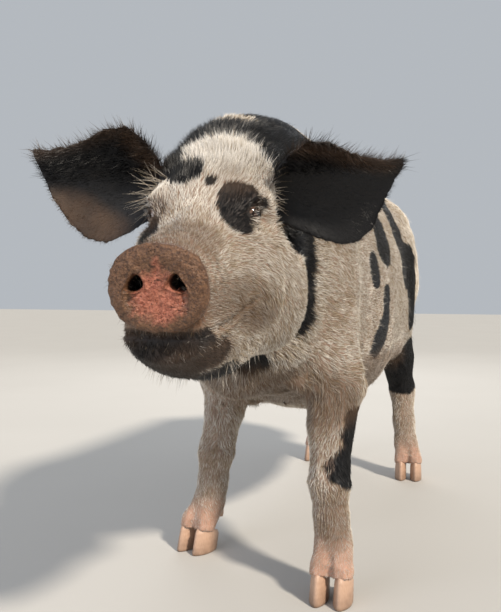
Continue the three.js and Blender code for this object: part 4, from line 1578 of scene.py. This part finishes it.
LEFT, RIGHT = 1, -1
PLAIN = Space(np.zeros(3), np.eye(3))
UPRIGHT = Space(np.zeros(3), np.array([[1.0, 0.0, 0.0], [0.0, 0.0, -1.0], [0.0, 1.0, 0.0]]))
TRUNK, FACE, LEG = (Part.TRUNK,), (Part.HEAD, Part.DISC), (Part.UPPER_LEG, Part.LOWER_LEG)
LOIN, RUMP = 150.0, 410.0
STRETCHES = [
    Stretch("coat_trunk_fore_left", "hide", PLAIN, TRUNK, LEFT, aft=LOIN),
    Stretch("coat_trunk_fore_right", "hide", PLAIN, TRUNK, RIGHT, aft=LOIN),
    Stretch("coat_trunk_rear_left", "hide", PLAIN, TRUNK, LEFT, fore=LOIN),
    Stretch("coat_trunk_rear_right", "hide", PLAIN, TRUNK, RIGHT, fore=RUMP),
    Stretch("coat_trunk_mid_right", "hide", PLAIN, TRUNK, RIGHT, fore=LOIN, aft=RUMP),
    Stretch("coat_neck", "hide", HEAD, (Part.NECK,)),
    Stretch("coat_face_left", "hide", HEAD, FACE, LEFT),
    Stretch("coat_face_right", "hide", HEAD, FACE, RIGHT),
    Stretch("coat_jaw", "jaw_hide", HEAD, (Part.JAW,)),
    Stretch("coat_ear_left", "ear_hide", PLAIN, (Part.EAR_LEFT,)),
    Stretch("coat_ear_right", "ear_hide", PLAIN, (Part.EAR_RIGHT,)),
    Stretch("coat_foreleg_left", "hide", UPRIGHT, LEG, LEFT, aft=LOIN),
    Stretch("coat_foreleg_right", "hide", UPRIGHT, LEG, RIGHT, aft=LOIN),
    Stretch("coat_hindleg_left", "hide", UPRIGHT, LEG, LEFT, fore=LOIN),
    Stretch("coat_hindleg_right", "hide", UPRIGHT, LEG, RIGHT, fore=LOIN),
    Stretch("coat_tail", "hide", UPRIGHT, (Part.TAIL,)),
]


BAKE_PATCH = 0.003


@dataclass
class Coat:
    """All the bristles, combed along the body."""

    skin: Skin
    rng: np.random.Generator = field(default_factory=lambda: np.random.default_rng(SEED + 1))

    def strewn(self, gaps: Array) -> Roots:
        """Roots strewn at random over the skin, as many as the gaps between them ask.

        Args:
            gaps: Mean gap between roots, one per face, and 0 where none grow.

        Returns:
            The roots.
        """
        shape = self.skin.shape
        wanted = np.where(gaps > 0.0, shape.areas() / np.square(np.maximum(gaps, 0.1)), 0.0)
        count = np.floor(wanted + self.rng.random(len(wanted))).astype(int)
        face = np.repeat(np.arange(len(count)), count)
        share = self.rng.dirichlet((1, 1, 1), len(face))
        points = np.einsum("nk,nkd->nd", share, shape.points[shape.faces[face]])
        normals = unit(np.einsum("nk,nkd->nd", share, shape.normals()[shape.faces[face]]))
        owner = shape.faces[face, share.argmax(axis=1)]
        values = {name: np.einsum("nk,nk->n", share, numbers[shape.faces[face]])
                  for name, numbers in self.skin.values.items()}
        return Roots(points, normals, self.skin.part[owner], values)

    def lie(self, roots: Roots) -> Array:
        """The way the coat is combed at each root, along the skin.

        It runs back from the snout, up over the forehead, back and slightly down along the
        trunk, down the rump and the legs, and outward along the ears.

        Args:
            roots: Where to read it.

        Returns:
            One unit vector per root.
        """
        p, part = roots.points, roots.part
        head = HEAD.local(p)
        way = np.zeros_like(p)
        rump = smooth_step(380.0, 600.0, p[:, 1])
        way[:, 1] = 1.0 - 0.7 * rump
        way[:, 2] = -0.28 * smooth_step(0.9, 0.2, roots.normals[:, 2]) - 0.8 * rump
        face = in_parts(part, Part.HEAD, Part.JAW, Part.DISC)
        up = smooth_step(40.0, 100.0, head[:, 2]) * smooth_step(90.0, 190.0, head[:, 1])
        cheek = smooth_step(60.0, 0.0, head[:, 2]) * smooth_step(30.0, 90.0, np.abs(head[:, 0]) + 30.0)
        facial = np.stack([0.15 * np.sign(head[:, 0]) * up, np.ones(len(p)),
                           -0.1 - 0.75 * cheek + 0.75 * up], axis=1)
        way[face] = HEAD.turn_out(facial)[face]
        for ear, side in zip(EARS, (1.0, -1.0)):
            outward = head - np.array([side * 60.0, 285.0, 90.0])
            way[in_parts(part, ear)] = HEAD.turn_out(unit(outward))[in_parts(part, ear)]
        for limb, back in ((Part.UPPER_LEG, 0.45), (Part.LOWER_LEG, 0.12), (Part.TAIL, 0.2)):
            way[in_parts(part, limb)] = np.array([0.0, back, -1.0])
        swirl = np.radians(22.0) * cloud(p, 90.0, 31, 2) + np.radians(15.0) * cloud(p, 16.0, 33, 2)
        way = unit(way - roots.normals * np.sum(way * roots.normals, axis=1, keepdims=True))
        across = np.cross(roots.normals, way)
        return way * np.cos(swirl)[:, None] + across * np.sin(swirl)[:, None]

    def spikes(self, roots: Roots, way: Array, length: Array, width: Array, lift: Array) -> Shape:
        """Straight bristles: each a thin closed spike with three sides and a base in the skin.

        Args:
            roots: Where they grow.
            way: Which way they are combed.
            length: Length of each.
            width: Width of each at its base.
            lift: Angle of each above the skin, in degrees.

        Returns:
            All the spikes, four points and four faces each, in order.
        """
        angle = np.radians(lift)[:, None]
        along = way * np.cos(angle) + roots.normals * np.sin(angle)
        side = unit(np.cross(way, roots.normals))
        top = unit(np.cross(side, along))
        base = roots.points - roots.normals * 0.5
        half = width[:, None] * 0.5
        corners = [base - side * half, base + side * half, base + top * half * 1.1,
                   base + along * length[:, None]]
        points = np.stack(corners, axis=1).reshape(-1, 3)
        start = np.arange(len(base))[:, None] * 4
        pattern = np.array([[0, 1, 2], [0, 2, 3], [2, 1, 3], [1, 0, 3]])
        return Shape(points, (start[:, None, :] + pattern[None]).reshape(-1, 3))

    def bake_map(self, points: Array) -> Array:
        """A root's place on an unwrap of the skin: angle round the body against length along it.

        Args:
            points: The roots, in a frame whose y runs along the part.

        Returns:
            Two numbers from 0 to 1 per root.
        """
        centre = points.mean(axis=0)
        angle = np.arctan2(points[:, 0] - centre[0], points[:, 2] - centre[2])
        u = (angle - angle.min()) / max(np.ptp(angle), 1e-6)
        v = (points[:, 1] - points[:, 1].min()) / max(np.ptp(points[:, 1]), 1e-6)
        return np.stack([u, v], axis=1) * 0.99 + BAKE_PATCH

    def add_piece(self, name: str, slot: str, shape: Shape, roots: Roots, material: bpy.types.Material,
                  along: Array, tone: Array, unwrap: Array) -> None:
        """Makes one piece of the coat, with its attributes and its bake map.

        Args:
            name: The piece's name.
            slot: Not used.
            shape: Its bristles, in the order of the roots.
            roots: Where they grow.
            material: The bristle's finish.
            along: Place from root to tip of each of a bristle's points.
            tone: One number per bristle for its own shade.
            unwrap: Each root's place on the bake map.
        """
        mesh = mesh_of_shape(name, shape)
        mesh.polygons.foreach_set("use_smooth", np.zeros(len(mesh.polygons), bool))
        count, ring = len(roots.points), len(along)
        set_attributes(mesh, {
            "mark": np.repeat(0.1 + 0.8 * self.rng.random(count) < roots.values["mark"], ring),
            "dirt": np.repeat(roots.values["dirt"], ring),
            "tone": np.repeat(tone, ring),
            "along": np.tile(along, count),
        })
        angle = np.arange(ring) * 2.4
        offset = np.stack([np.cos(angle), np.sin(angle)], axis=1) * BAKE_PATCH / 2.0
        place = (unwrap[:, None, :] + offset[None]).reshape(-1, 2)
        layer = mesh.uv_layers.new(name="OFBake")
        layer.uv.foreach_set("vector", place[shape.faces.ravel()].astype(np.float32).ravel())
        mesh.materials.append(material)
        piece = new_object(name, mesh)
        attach(piece, "root")
        log.info("%s: %d bristles, %d faces", name, count, len(shape.faces))

    def crest(self, head: Array) -> Array:
        """1 where the coat stands up, on the forehead, the poll and the nape, 0 elsewhere."""
        high = smooth_step(86.0, 112.0, head[:, 2]) * smooth_step(185.0, 240.0, head[:, 1])
        return high * smooth_step(520.0, 380.0, head[:, 1])

    def comb(self, material: bpy.types.Material) -> None:
        """Grows the short coat over the whole skin, in pieces by part of the body.

        Args:
            material: The bristle's finish.
        """
        shape = self.skin.shape
        table = np.array([LOCKS[part].gap if part in LOCKS else 0.0 for part in PARTS])
        bald = self.skin.values["bald"][shape.faces].mean(axis=1)
        gaps = table[self.skin.part[shape.faces[:, 0]]] * (bald < 0.5)
        roots = self.strewn(gaps)
        log.info("strewed %d roots", len(roots.points))
        for stretch in STRETCHES:
            self.grow(stretch, roots.only(stretch.holds(roots)), material)

    def grow(self, stretch: Stretch, roots: Roots, material: bpy.types.Material) -> None:
        """Grows the short bristles of one piece, smaller on the face and the feet.

        Args:
            stretch: The piece's stretch of the body.
            roots: Where they grow.
            material: The bristle's finish.
        """
        rng, count = self.rng, len(roots.points)
        table = np.array([astuple(LOCKS.get(part, LOCKS[Part.HEAD])) for part in PARTS])
        _, length, width, lift, stray = table[roots.part].T
        head = HEAD.local(roots.points)
        small = 0.62 + 0.38 * smooth_step(25.0, 120.0, head[:, 1])
        small *= 0.5 + 0.5 * smooth_step(40.0, 140.0, roots.points[:, 2])
        length = length * (0.7 + 0.6 * rng.random(count)) * small
        width = width * (0.75 + 0.5 * rng.random(count)) * (0.6 + 0.4 * small)
        lift = lift * (0.5 + rng.random(count) * 1.1) + 2.0
        crest = self.crest(head)
        length *= 1.0 + 0.55 * crest
        lift += 30.0 * crest
        stray = np.radians(stray) * rng.normal(size=count)
        way = self.lie(roots)
        across = np.cross(roots.normals, way)
        way = way * np.cos(stray)[:, None] + across * np.sin(stray)[:, None]
        lift += 42.0 * roots.values["fold"]
        middle = markings(roots.points + way * (0.5 * length)[:, None])
        roots.values["mark"] = np.where(in_parts(roots.part, *EARS), 1.0, middle)
        shape = self.spikes(roots, way, length, width, lift)
        clump = cloud(roots.points, 9.0, 55, 2) + 0.7 * cloud(roots.points, 60.0, 56, 2)
        bright = smooth_step(35.0, 85.0, head[:, 2]) * smooth_step(110.0, 190.0, head[:, 1])
        bright *= smooth_step(450.0, 400.0, head[:, 1])
        tone = 0.40 + 0.44 * rng.normal(size=count) + 0.35 * clump - 0.4 * bright
        tone = np.clip(tone, 0.0, 1.0)
        unwrap = self.bake_map(stretch.space.local(roots.points))
        along = np.array([0.0, 0.0, 0.1, 1.0])
        self.add_piece(stretch.name, stretch.slot, shape, roots, material, along, tone, unwrap)


# ---------------------------------------------------------------- long hair

@dataclass
class LongHair:
    """The long thin bristles that stand out of the coat, each bent, in their own pieces."""

    coat: Coat
    material: bpy.types.Material
    rings: int = 2

    def bent(self, roots: Roots, way: Array, length: Array, width: Array, sag: float) -> Shape:
        """Bristles with three sides, a few rings and a tip, bowed down and sideways.

        A bristle's middle line is its root, plus its way times t, plus a bow times t squared.

        Args:
            roots: Where they grow.
            way: Which way each points.
            length: Length of each.
            width: Width of each at its base.
            sag: How far each bows down, as a share of its length.

        Returns:
            All the bristles, in order.
        """
        rng, count = self.coat.rng, len(roots.points)
        side = unit(np.cross(way, np.array([0.03, 0.02, 1.0])))
        top = np.cross(side, way)
        bow = side * rng.normal(scale=0.16, size=(count, 1)) + np.array([0.0, 0.0, -sag])
        stops = np.linspace(0.0, 1.0, self.rings + 1)
        rows = []
        for stop in stops[:-1]:
            middle = roots.points - roots.normals * 0.6 + (way * stop + bow * stop ** 2) * length[:, None]
            half = (width * 0.5 * (1.0 - 0.75 * stop))[:, None]
            rows += [middle - side * half, middle + side * half, middle + top * half * 1.2]
        rows.append(roots.points + (way + bow) * length[:, None])
        ring = len(rows)
        points = np.stack(rows, axis=1).reshape(-1, 3)
        pattern = [[1, 0, 2]]
        for k in range(0, ring - 4, 3):
            for a, b in ((0, 1), (1, 2), (2, 0)):
                pattern += [[k + a, k + b, k + 3 + b], [k + a, k + 3 + b, k + 3 + a]]
        pattern += [[ring - 4 + a, ring - 4 + b, ring - 1] for a, b in ((0, 1), (1, 2), (2, 0))]
        start = np.arange(count)[:, None] * ring
        return Shape(points, (start[:, None, :] + np.array(pattern)[None]).reshape(-1, 3))

    def sown(self, chosen: Array, gap: float) -> Roots:
        """Roots a mean gap apart over the chosen points of the skin."""
        faces = self.coat.skin.shape.faces
        return self.coat.strewn(np.where(chosen[faces].all(axis=1), gap, 0.0))

    def grow(self, name: str, slot: str, roots: Roots, way: Array, reach: tuple[float, float],
             width: float, sag: float, tone: float) -> None:
        """slot: Not used.

        Args:
            name: The piece's name.
            slot: The record's slot.
            roots: Where they grow.
            way: Which way each points.
            reach: The shortest and the longest.
            width: Their width.
            sag: How far they bow down.
            tone: 0 for white, 1 for straw.
        """
        rng, count = self.coat.rng, len(roots.points)
        length = rng.uniform(*reach, size=count)
        thick = width * rng.uniform(0.7, 1.25, size=count)
        shape = self.bent(roots, unit(way), length, thick, sag)
        along = np.append(np.repeat(np.linspace(0.0, 1.0, self.rings + 1)[:-1], 3), 1.0) * 0.85 + 0.15
        shade = np.clip(tone + rng.normal(scale=0.25, size=count), 0.0, 1.0)
        unwrap = self.coat.bake_map(HEAD.local(roots.points))
        self.coat.add_piece(name, slot, shape, roots, self.material, along, shade, unwrap)

    def scattered(self, roots: Roots, amount: float) -> Array:
        """A random push for each root's direction."""
        return self.coat.rng.normal(scale=amount, size=roots.points.shape)

    def on_ears(self) -> None:
        """Fringes round the ears' edges, where the skin bends sharply, pointing off the edge."""
        skin = self.coat.skin
        normal = skin.shape.normals()
        one, other, degree = skin.shape.neighbours()
        total = np.stack([np.bincount(one, normal[other, k], len(normal)) for k in range(3)], axis=1)
        bend = 1.0 - np.linalg.norm(total, axis=1) / degree
        outer = np.abs(HEAD.local(skin.shape.points)[:, 0]) > 92.0
        for ear, side in zip(EARS, ("left", "right")):
            rim = in_parts(skin.part, ear) & (bend > 0.05) & outer
            roots = self.sown(rim, gap=2.3)
            way = roots.normals + 0.35 * self.coat.lie(roots) + self.scattered(roots, 0.22)
            self.grow(f"fringe_{side}", "ear_hide", roots, way, reach=(3.0, 8.5),
                      width=0.32, sag=0.05, tone=0.9)

    def before_ears(self) -> None:
        """Fans of long pale hair on the brows, reaching out across each ear's hollow."""
        skin = self.coat.skin
        head = HEAD.local(skin.shape.points)
        fans = ((1.0, "left", 5.2, (12.0, 28.0)), (-1.0, "right", 4.6, (20.0, 50.0)))
        for side, name, gap, reach in fans:
            near = np.linalg.norm(head - np.array([side * 74.0, 240.0, 84.0]), axis=1) < 26.0
            roots = self.sown(near, gap=gap)
            roots.values["mark"][:] = 0.0
            place = HEAD.local(roots.points)
            fan = np.stack([np.full(len(place), side), np.full(len(place), -0.25),
                            (place[:, 2] - 78.0) / 22.0], axis=1)
            way = HEAD.turn_out(fan) + self.scattered(roots, 0.4)
            self.grow(f"brow_hair_{name}", "hide", roots, way, reach=reach, width=0.55, sag=0.08, tone=0.6)

    def on_crest(self) -> None:
        """Taller bristles standing along the forehead, the poll and the nape."""
        skin = self.coat.skin
        roots = self.sown(self.coat.crest(HEAD.local(skin.shape.points)) > 0.45, gap=4.6)
        way = 0.9 * roots.normals + 0.7 * self.coat.lie(roots) + self.scattered(roots, 0.14)
        self.grow("crest_bristles", "hide", roots, way, reach=(12.0, 25.0), width=0.75, sag=0.0, tone=0.1)

    def on_chin(self) -> None:
        """Long bristles hanging from the jaw and the throat."""
        skin = self.coat.skin
        x, y, z = HEAD.local(skin.shape.points).T
        under = (z < -84.0) & (y > 90.0) & (y < 180.0) & (np.abs(x) > 16.0) & (np.abs(x) < 70.0)
        roots = self.sown(under & (skin.shape.normals()[:, 2] < 0.1), gap=8.5)
        roots.values["mark"][:] *= 0.25
        down = HEAD.turn_out(np.array([[-0.25, -0.1, -1.0]]))
        way = 0.4 * roots.normals + down + self.scattered(roots, 0.2)
        self.grow("chin_bristles", "jaw_hide", roots, way, reach=(10.0, 27.0), width=0.55, sag=0.1, tone=0.35)

    def on_muzzle(self) -> None:
        """Short sparse whiskers on the muzzle and round the disc's edge."""
        skin = self.coat.skin
        x, y, z = HEAD.local(skin.shape.points).T
        roots = self.sown((y > 4.0) & (y < 80.0) & (z > -75.0), gap=6.0)
        roots.values["mark"][:] = 0.6
        way = roots.normals + 0.5 * self.coat.lie(roots) + self.scattered(roots, 0.2)
        self.grow("muzzle_whiskers", "hide", roots, way, reach=(3.5, 9.0), width=0.45, sag=0.1, tone=0.5)

    def over_body(self) -> None:
        """Sparse longer bristles all over the trunk and the neck, lifted a little from the coat."""
        skin = self.coat.skin
        wanted = in_parts(skin.part, Part.TRUNK, Part.NECK)
        bald = skin.values["bald"] > 0.5
        for side, name in ((1.0, "left"), (-1.0, "right")):
            half = wanted & ~bald & (skin.shape.points[:, 0] * side >= 0.0)
            roots = self.sown(half, gap=15.0)
            way = self.coat.lie(roots) + 0.3 * roots.normals + self.scattered(roots, 0.13)
            self.grow(f"guard_hair_{name}", "hide", roots, way, reach=(14.0, 24.0),
                      width=0.8, sag=0.06, tone=0.15)

    def on_tail(self) -> None:
        """A switch of long hair on the end of the tail."""
        skin = self.coat.skin
        end = node_box("tail")[1][1]
        tail = in_parts(skin.part, Part.TAIL) & (skin.shape.points[:, 1] > end - 60.0)
        roots = self.sown(tail, gap=3.0)
        way = np.array([[0.0, 0.25, -1.0]]) + 0.35 * roots.normals + self.scattered(roots, 0.25)
        self.grow("tail_switch", "hide", roots, way, reach=(18.0, 45.0), width=0.7, sag=0.1, tone=0.35)

    def on_lids(self) -> None:
        """Lashes along each upper lid, half of them dark."""
        skin = self.coat.skin
        head = HEAD.local(skin.shape.points)
        for name, outer in skin.eye_axes.items():
            centre = skin.eye_centre(name)
            offset = head - centre
            out = offset @ outer
            spread = np.linalg.norm(offset - out[:, None] * outer, axis=1)
            upper = (spread > 3.5) & (spread < 10.5) & (out > 9.0) & (offset[:, 2] > 1.0)
            roots = self.sown(upper, gap=2.3)
            roots.values["mark"][:] = 0.5
            lean = HEAD.local(roots.points) - centre
            way = HEAD.turn_out(outer + 0.06 * lean * (1.0, 1.0, 0.2)) + self.scattered(roots, 0.12)
            self.grow(f"lashes_{name}", "hide", roots, way, reach=(5.0, 9.0), width=0.32, sag=0.25, tone=0.2)

    def build(self) -> None:
        """Grows every kind of long hair."""
        self.on_ears()
        self.before_ears()
        self.on_crest()
        self.on_chin()
        self.on_muzzle()
        self.over_body()
        self.on_tail()
        self.on_lids()


# ---------------------------------------------------------------- eyes and hooves

@dataclass
class Eyes:
    """The two eyeballs, with the rings of the iris in an attribute."""

    iris: float = 8.2
    oval: float = 1.25
    cornea: float = 0.06
    rings: int = 28
    sides: int = 40

    def ball(self, name: str, axis: Array) -> tuple[Shape, Array]:
        """A ball on a grid of angles, its pole on the gaze, with a low dome for the cornea.

        Args:
            name: The eye's CAD node.
            axis: Which way it looks, in the head's frame.

        Returns:
            The shape, and each point's distance from the gaze in irises.
        """
        low, high = node_box(name)
        centre = HEAD.local(((low + high) / 2.0)[None])[0]
        radius = float(np.min(high - low) / 2.0)
        v, u = np.meshgrid(np.linspace(0, np.pi, self.rings), np.arange(self.sides) * 2 * np.pi / self.sides,
                           indexing="ij")
        length = unit(np.cross(np.array([0.0, 0.0, 1.0]), axis)[None])[0]
        upward = np.cross(axis, length)
        reach = radius * (1.0 + self.cornea * bell(np.sin(v) * radius / self.iris, 0.75) * (v < 1.5))
        points = (centre + (reach * np.cos(v))[..., None] * axis
                  + (reach * np.sin(v) * np.cos(u))[..., None] * length
                  + (reach * np.sin(v) * np.sin(u))[..., None] * upward)
        gaze = np.hypot(np.sin(v) * np.cos(u) / self.oval, np.sin(v) * np.sin(u)) * radius / self.iris
        gaze = np.where(v > np.pi / 2, 3.0, gaze)
        faces = tube_faces(self.rings, self.sides)[:, ::-1]
        return Shape(HEAD.world(points.reshape(-1, 3)), faces), gaze.ravel()

    def build(self, axes: dict[str, Array], material: bpy.types.Material) -> None:
        """Makes both eyes.

        Args:
            axes: Which way each looks.
            material: The eye's finish.
        """
        for name, axis in axes.items():
            shape, gaze = self.ball(name, axis)
            mesh = mesh_of_shape(name + "_ball", shape)
            set_attributes(mesh, {"gaze": gaze})
            mesh.materials.append(material)
            eye = new_object(name + "_ball", mesh)
            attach(eye, "root")
            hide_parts(name)
            log.info("%s made", eye.name)


@dataclass
class Hooves:
    """The claws, worked out as rings up a sloping wall, and the dewclaws, worn smooth."""

    sides: int = 44
    levels: int = 20
    nose: float = 0.26
    inner: float = 0.84
    lean_back: float = 9.0
    heel_drop: float = 0.27
    squareness: float = 0.92
    ridge: float = 0.22
    dewclaw_grain: float = 1.1

    def claw(self, space: Space, name: str, inward: float) -> Shape:
        """One claw: an oval sole pointed at the toe, its wall drawn in and back as it rises.

        Its rings run from the middle of the sole, out to the edge, up the wall, and in again
        above the coronet, where the skin covers it. The coronet is lower at the heel.

        Args:
            space: The foot's frame.
            name: The CAD claw that it replaces.
            inward: 1 if the other claw lies towards +x of the foot, else -1.

        Returns:
            A closed shape.
        """
        solid = space.local(solid_of_node(name).points)
        low, high = solid.min(axis=0), solid.max(axis=0)
        middle, half = (low + high) / 2.0, (high - low) / 2.0
        stops = np.linspace(0.0, 1.0, self.levels)
        knots = [0.0, 0.12, 0.18, 0.25, 0.8, 0.9, 1.0]
        size = np.interp(stops, knots, [0.0, 0.9, 0.98, 1.0, 0.94, 0.8, 0.0])
        level = np.interp(stops, knots, [0.0, 0.0, 0.02, 0.1, 1.0, 1.2, 1.28])
        angle = np.arange(self.sides) * 2.0 * np.pi / self.sides
        x, y = np.cos(angle), np.sin(angle)
        x = x * (1.0 - self.nose * np.maximum(-y, 0.0) ** 2)
        x = np.where(x * inward > 0.0, x * self.inner, x)
        y = np.sign(y) * np.abs(y) ** self.squareness
        px = middle[0] + size[:, None] * half[0] * x
        py = middle[1] + size[:, None] * half[1] * y + self.lean_back * level[:, None] - 1.5
        front = np.clip((py - low[1]) / (high[1] - low[1]), 0.0, 1.2)
        top = high[2] * (1.0 - self.heel_drop * 1.4 * front)
        ridges = self.ridge * np.sin(level[:, None] * 26.0 + y * 1.5) * (level[:, None] > 0.1)
        pz = level[:, None] * top
        points = np.stack([px + ridges * x, py + ridges * y, pz], axis=-1).reshape(-1, 3)
        return Shape(space.world(points), tube_faces(self.levels, self.sides))

    def build(self, material: bpy.types.Material) -> None:
        """Makes a hoof for each claw's and dewclaw's solid.

        Args:
            material: The horn's finish.
        """
        for leg, space in FEET.items():
            for which in ("outer", "inner"):
                to_left = (which == "outer") == leg.endswith("left")
                claw = self.claw(space, f"{leg}_claw_{which}", -1.0 if to_left else 1.0)
                self.show(claw, f"{leg}_claw_{which}", material)
                name = f"{leg}_dewclaw_{which}"
                peg = through_modifier(solid_of_node(name), "REMESH", mode="VOXEL",
                                       voxel_size=self.dewclaw_grain * MM)
                peg.points = relaxed(peg, rounds=16, keep=0.12)
                self.show(through_modifier(peg, "DECIMATE", ratio=0.4), name, material)
        log.info("hooves made")

    def show(self, shape: Shape, node: str, material: bpy.types.Material) -> None:
        """Makes the object that stands for a claw's node.

        Args:
            shape: The hoof.
            node: The node.
            material: The horn's finish.
        """
        mesh = mesh_of_shape(node + "_horn", shape)
        mesh.materials.append(material)
        hoof = new_object(node + "_horn", mesh)
        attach(hoof, "root")
        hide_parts(node)


# ---------------------------------------------------------------- the studio

@dataclass
class Studio:
    """A pale floor, soft lights and the camera."""

    floor_size: float = 30.0
    focal: float = 41.18
    sensor: float = 36.0
    eye_point: tuple[float, float, float] = (0.3894, -1.3844, 0.5)
    forward: tuple[float, float, float] = (-0.370, 0.929, -0.02)
    sky: float = 0.62

    def camera(self) -> None:
        """Stands the camera before the head, slightly to its left, and turns it to the pig."""
        lens = bpy.data.cameras.new("camera")
        lens.lens, lens.sensor_width = self.focal, self.sensor
        camera = new_object("camera", lens)
        camera.location = self.eye_point
        camera.rotation_euler = Vector(self.forward).to_track_quat("-Z", "Y").to_euler()
        bpy.context.scene.camera = camera

    def floor(self, material: bpy.types.Material) -> None:
        """Lays the floor.

        Args:
            material: The floor's finish.
        """
        reach = self.floor_size / 2.0 / MM
        corners = np.array([[-reach, -reach, 0], [reach, -reach, 0], [reach, reach, 0], [-reach, reach, 0]])
        mesh = mesh_of_shape("floor", Shape(corners, np.array([[0, 1, 2], [0, 2, 3]])))
        mesh.materials.append(material)
        new_object("floor", mesh)

    def lamp(self, name: str, place: tuple, aim: tuple, size: float, watts: float, colour: str) -> None:
        """Hangs one soft lamp.

        Args:
            name: The lamp's name.
            place: Where it hangs, in metres.
            aim: What it points at, in metres.
            size: Its width, in metres.
            watts: Its power.
            colour: Its colour in hex.
        """
        light = bpy.data.lights.new(name, "AREA")
        light.size, light.energy, light.color = size, watts, linear(colour)[:3]
        lamp = new_object(name, light)
        lamp.location = place
        lamp.rotation_euler = (Vector(aim) - Vector(place)).to_track_quat("-Z", "Y").to_euler()

    def sun(self, place: tuple, spread: float, strength: float, colour: str) -> None:
        """Shines one broad distant lamp, so that the floor is lit evenly.

        Args:
            place: The direction it comes from.
            spread: Its width in the sky, in degrees.
            strength: Its power over each square metre.
            colour: Its colour in hex.
        """
        light = bpy.data.lights.new("key", "SUN")
        light.angle, light.energy, light.color = np.radians(spread), strength, linear(colour)[:3]
        lamp = new_object("key", light)
        lamp.rotation_euler = Vector(place).to_track_quat("Z", "Y").to_euler()

    def build(self, material: bpy.types.Material) -> None:
        """Sets up the floor, the lamps, the surrounding light and the camera.

        Args:
            material: The floor's finish.
        """
        self.camera()
        self.floor(material)
        self.sun((1.0, -0.54, 0.95), spread=6.0, strength=4.4, colour="fff4e4")
        self.lamp("fill", (-1.6, -3.2, 1.6), (0.0, -0.3, 0.4), size=2.5, watts=48.0, colour="f2f4ff")
        self.lamp("rim", (-1.0, 3.0, 2.6), (0.0, 0.0, 0.5), size=2.0, watts=40.0, colour="ffffff")
        world = bpy.data.worlds.new("studio")
        world.use_nodes = True
        back = world.node_tree.nodes["Background"]
        back.inputs["Color"].default_value = linear("dfe5ec")
        back.inputs["Strength"].default_value = self.sky
        bpy.context.scene.world = world
        bpy.context.scene.view_settings.view_transform = "Standard"


def main() -> None:
    """Builds the studio, the skin, the eyes, the hooves and the coat, in that order."""
    logging.basicConfig(level=logging.INFO, format="%(relativeCreated)6d ms %(message)s")
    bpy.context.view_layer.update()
    Studio().build(FloorFinish().material())
    skin = Skin()
    skin.build()
    Eyes().build(skin.eye_axes, EyeFinish().material())
    Hooves().build(HornFinish().material())
    skin.show(HideFinish().material())
    log.info("skin has %d faces", len(skin.shape.faces))
    bristle = BristleFinish().material()
    coat = Coat(skin)
    coat.comb(bristle)
    LongHair(coat, bristle).build()


if __name__ == "__main__":
    main()
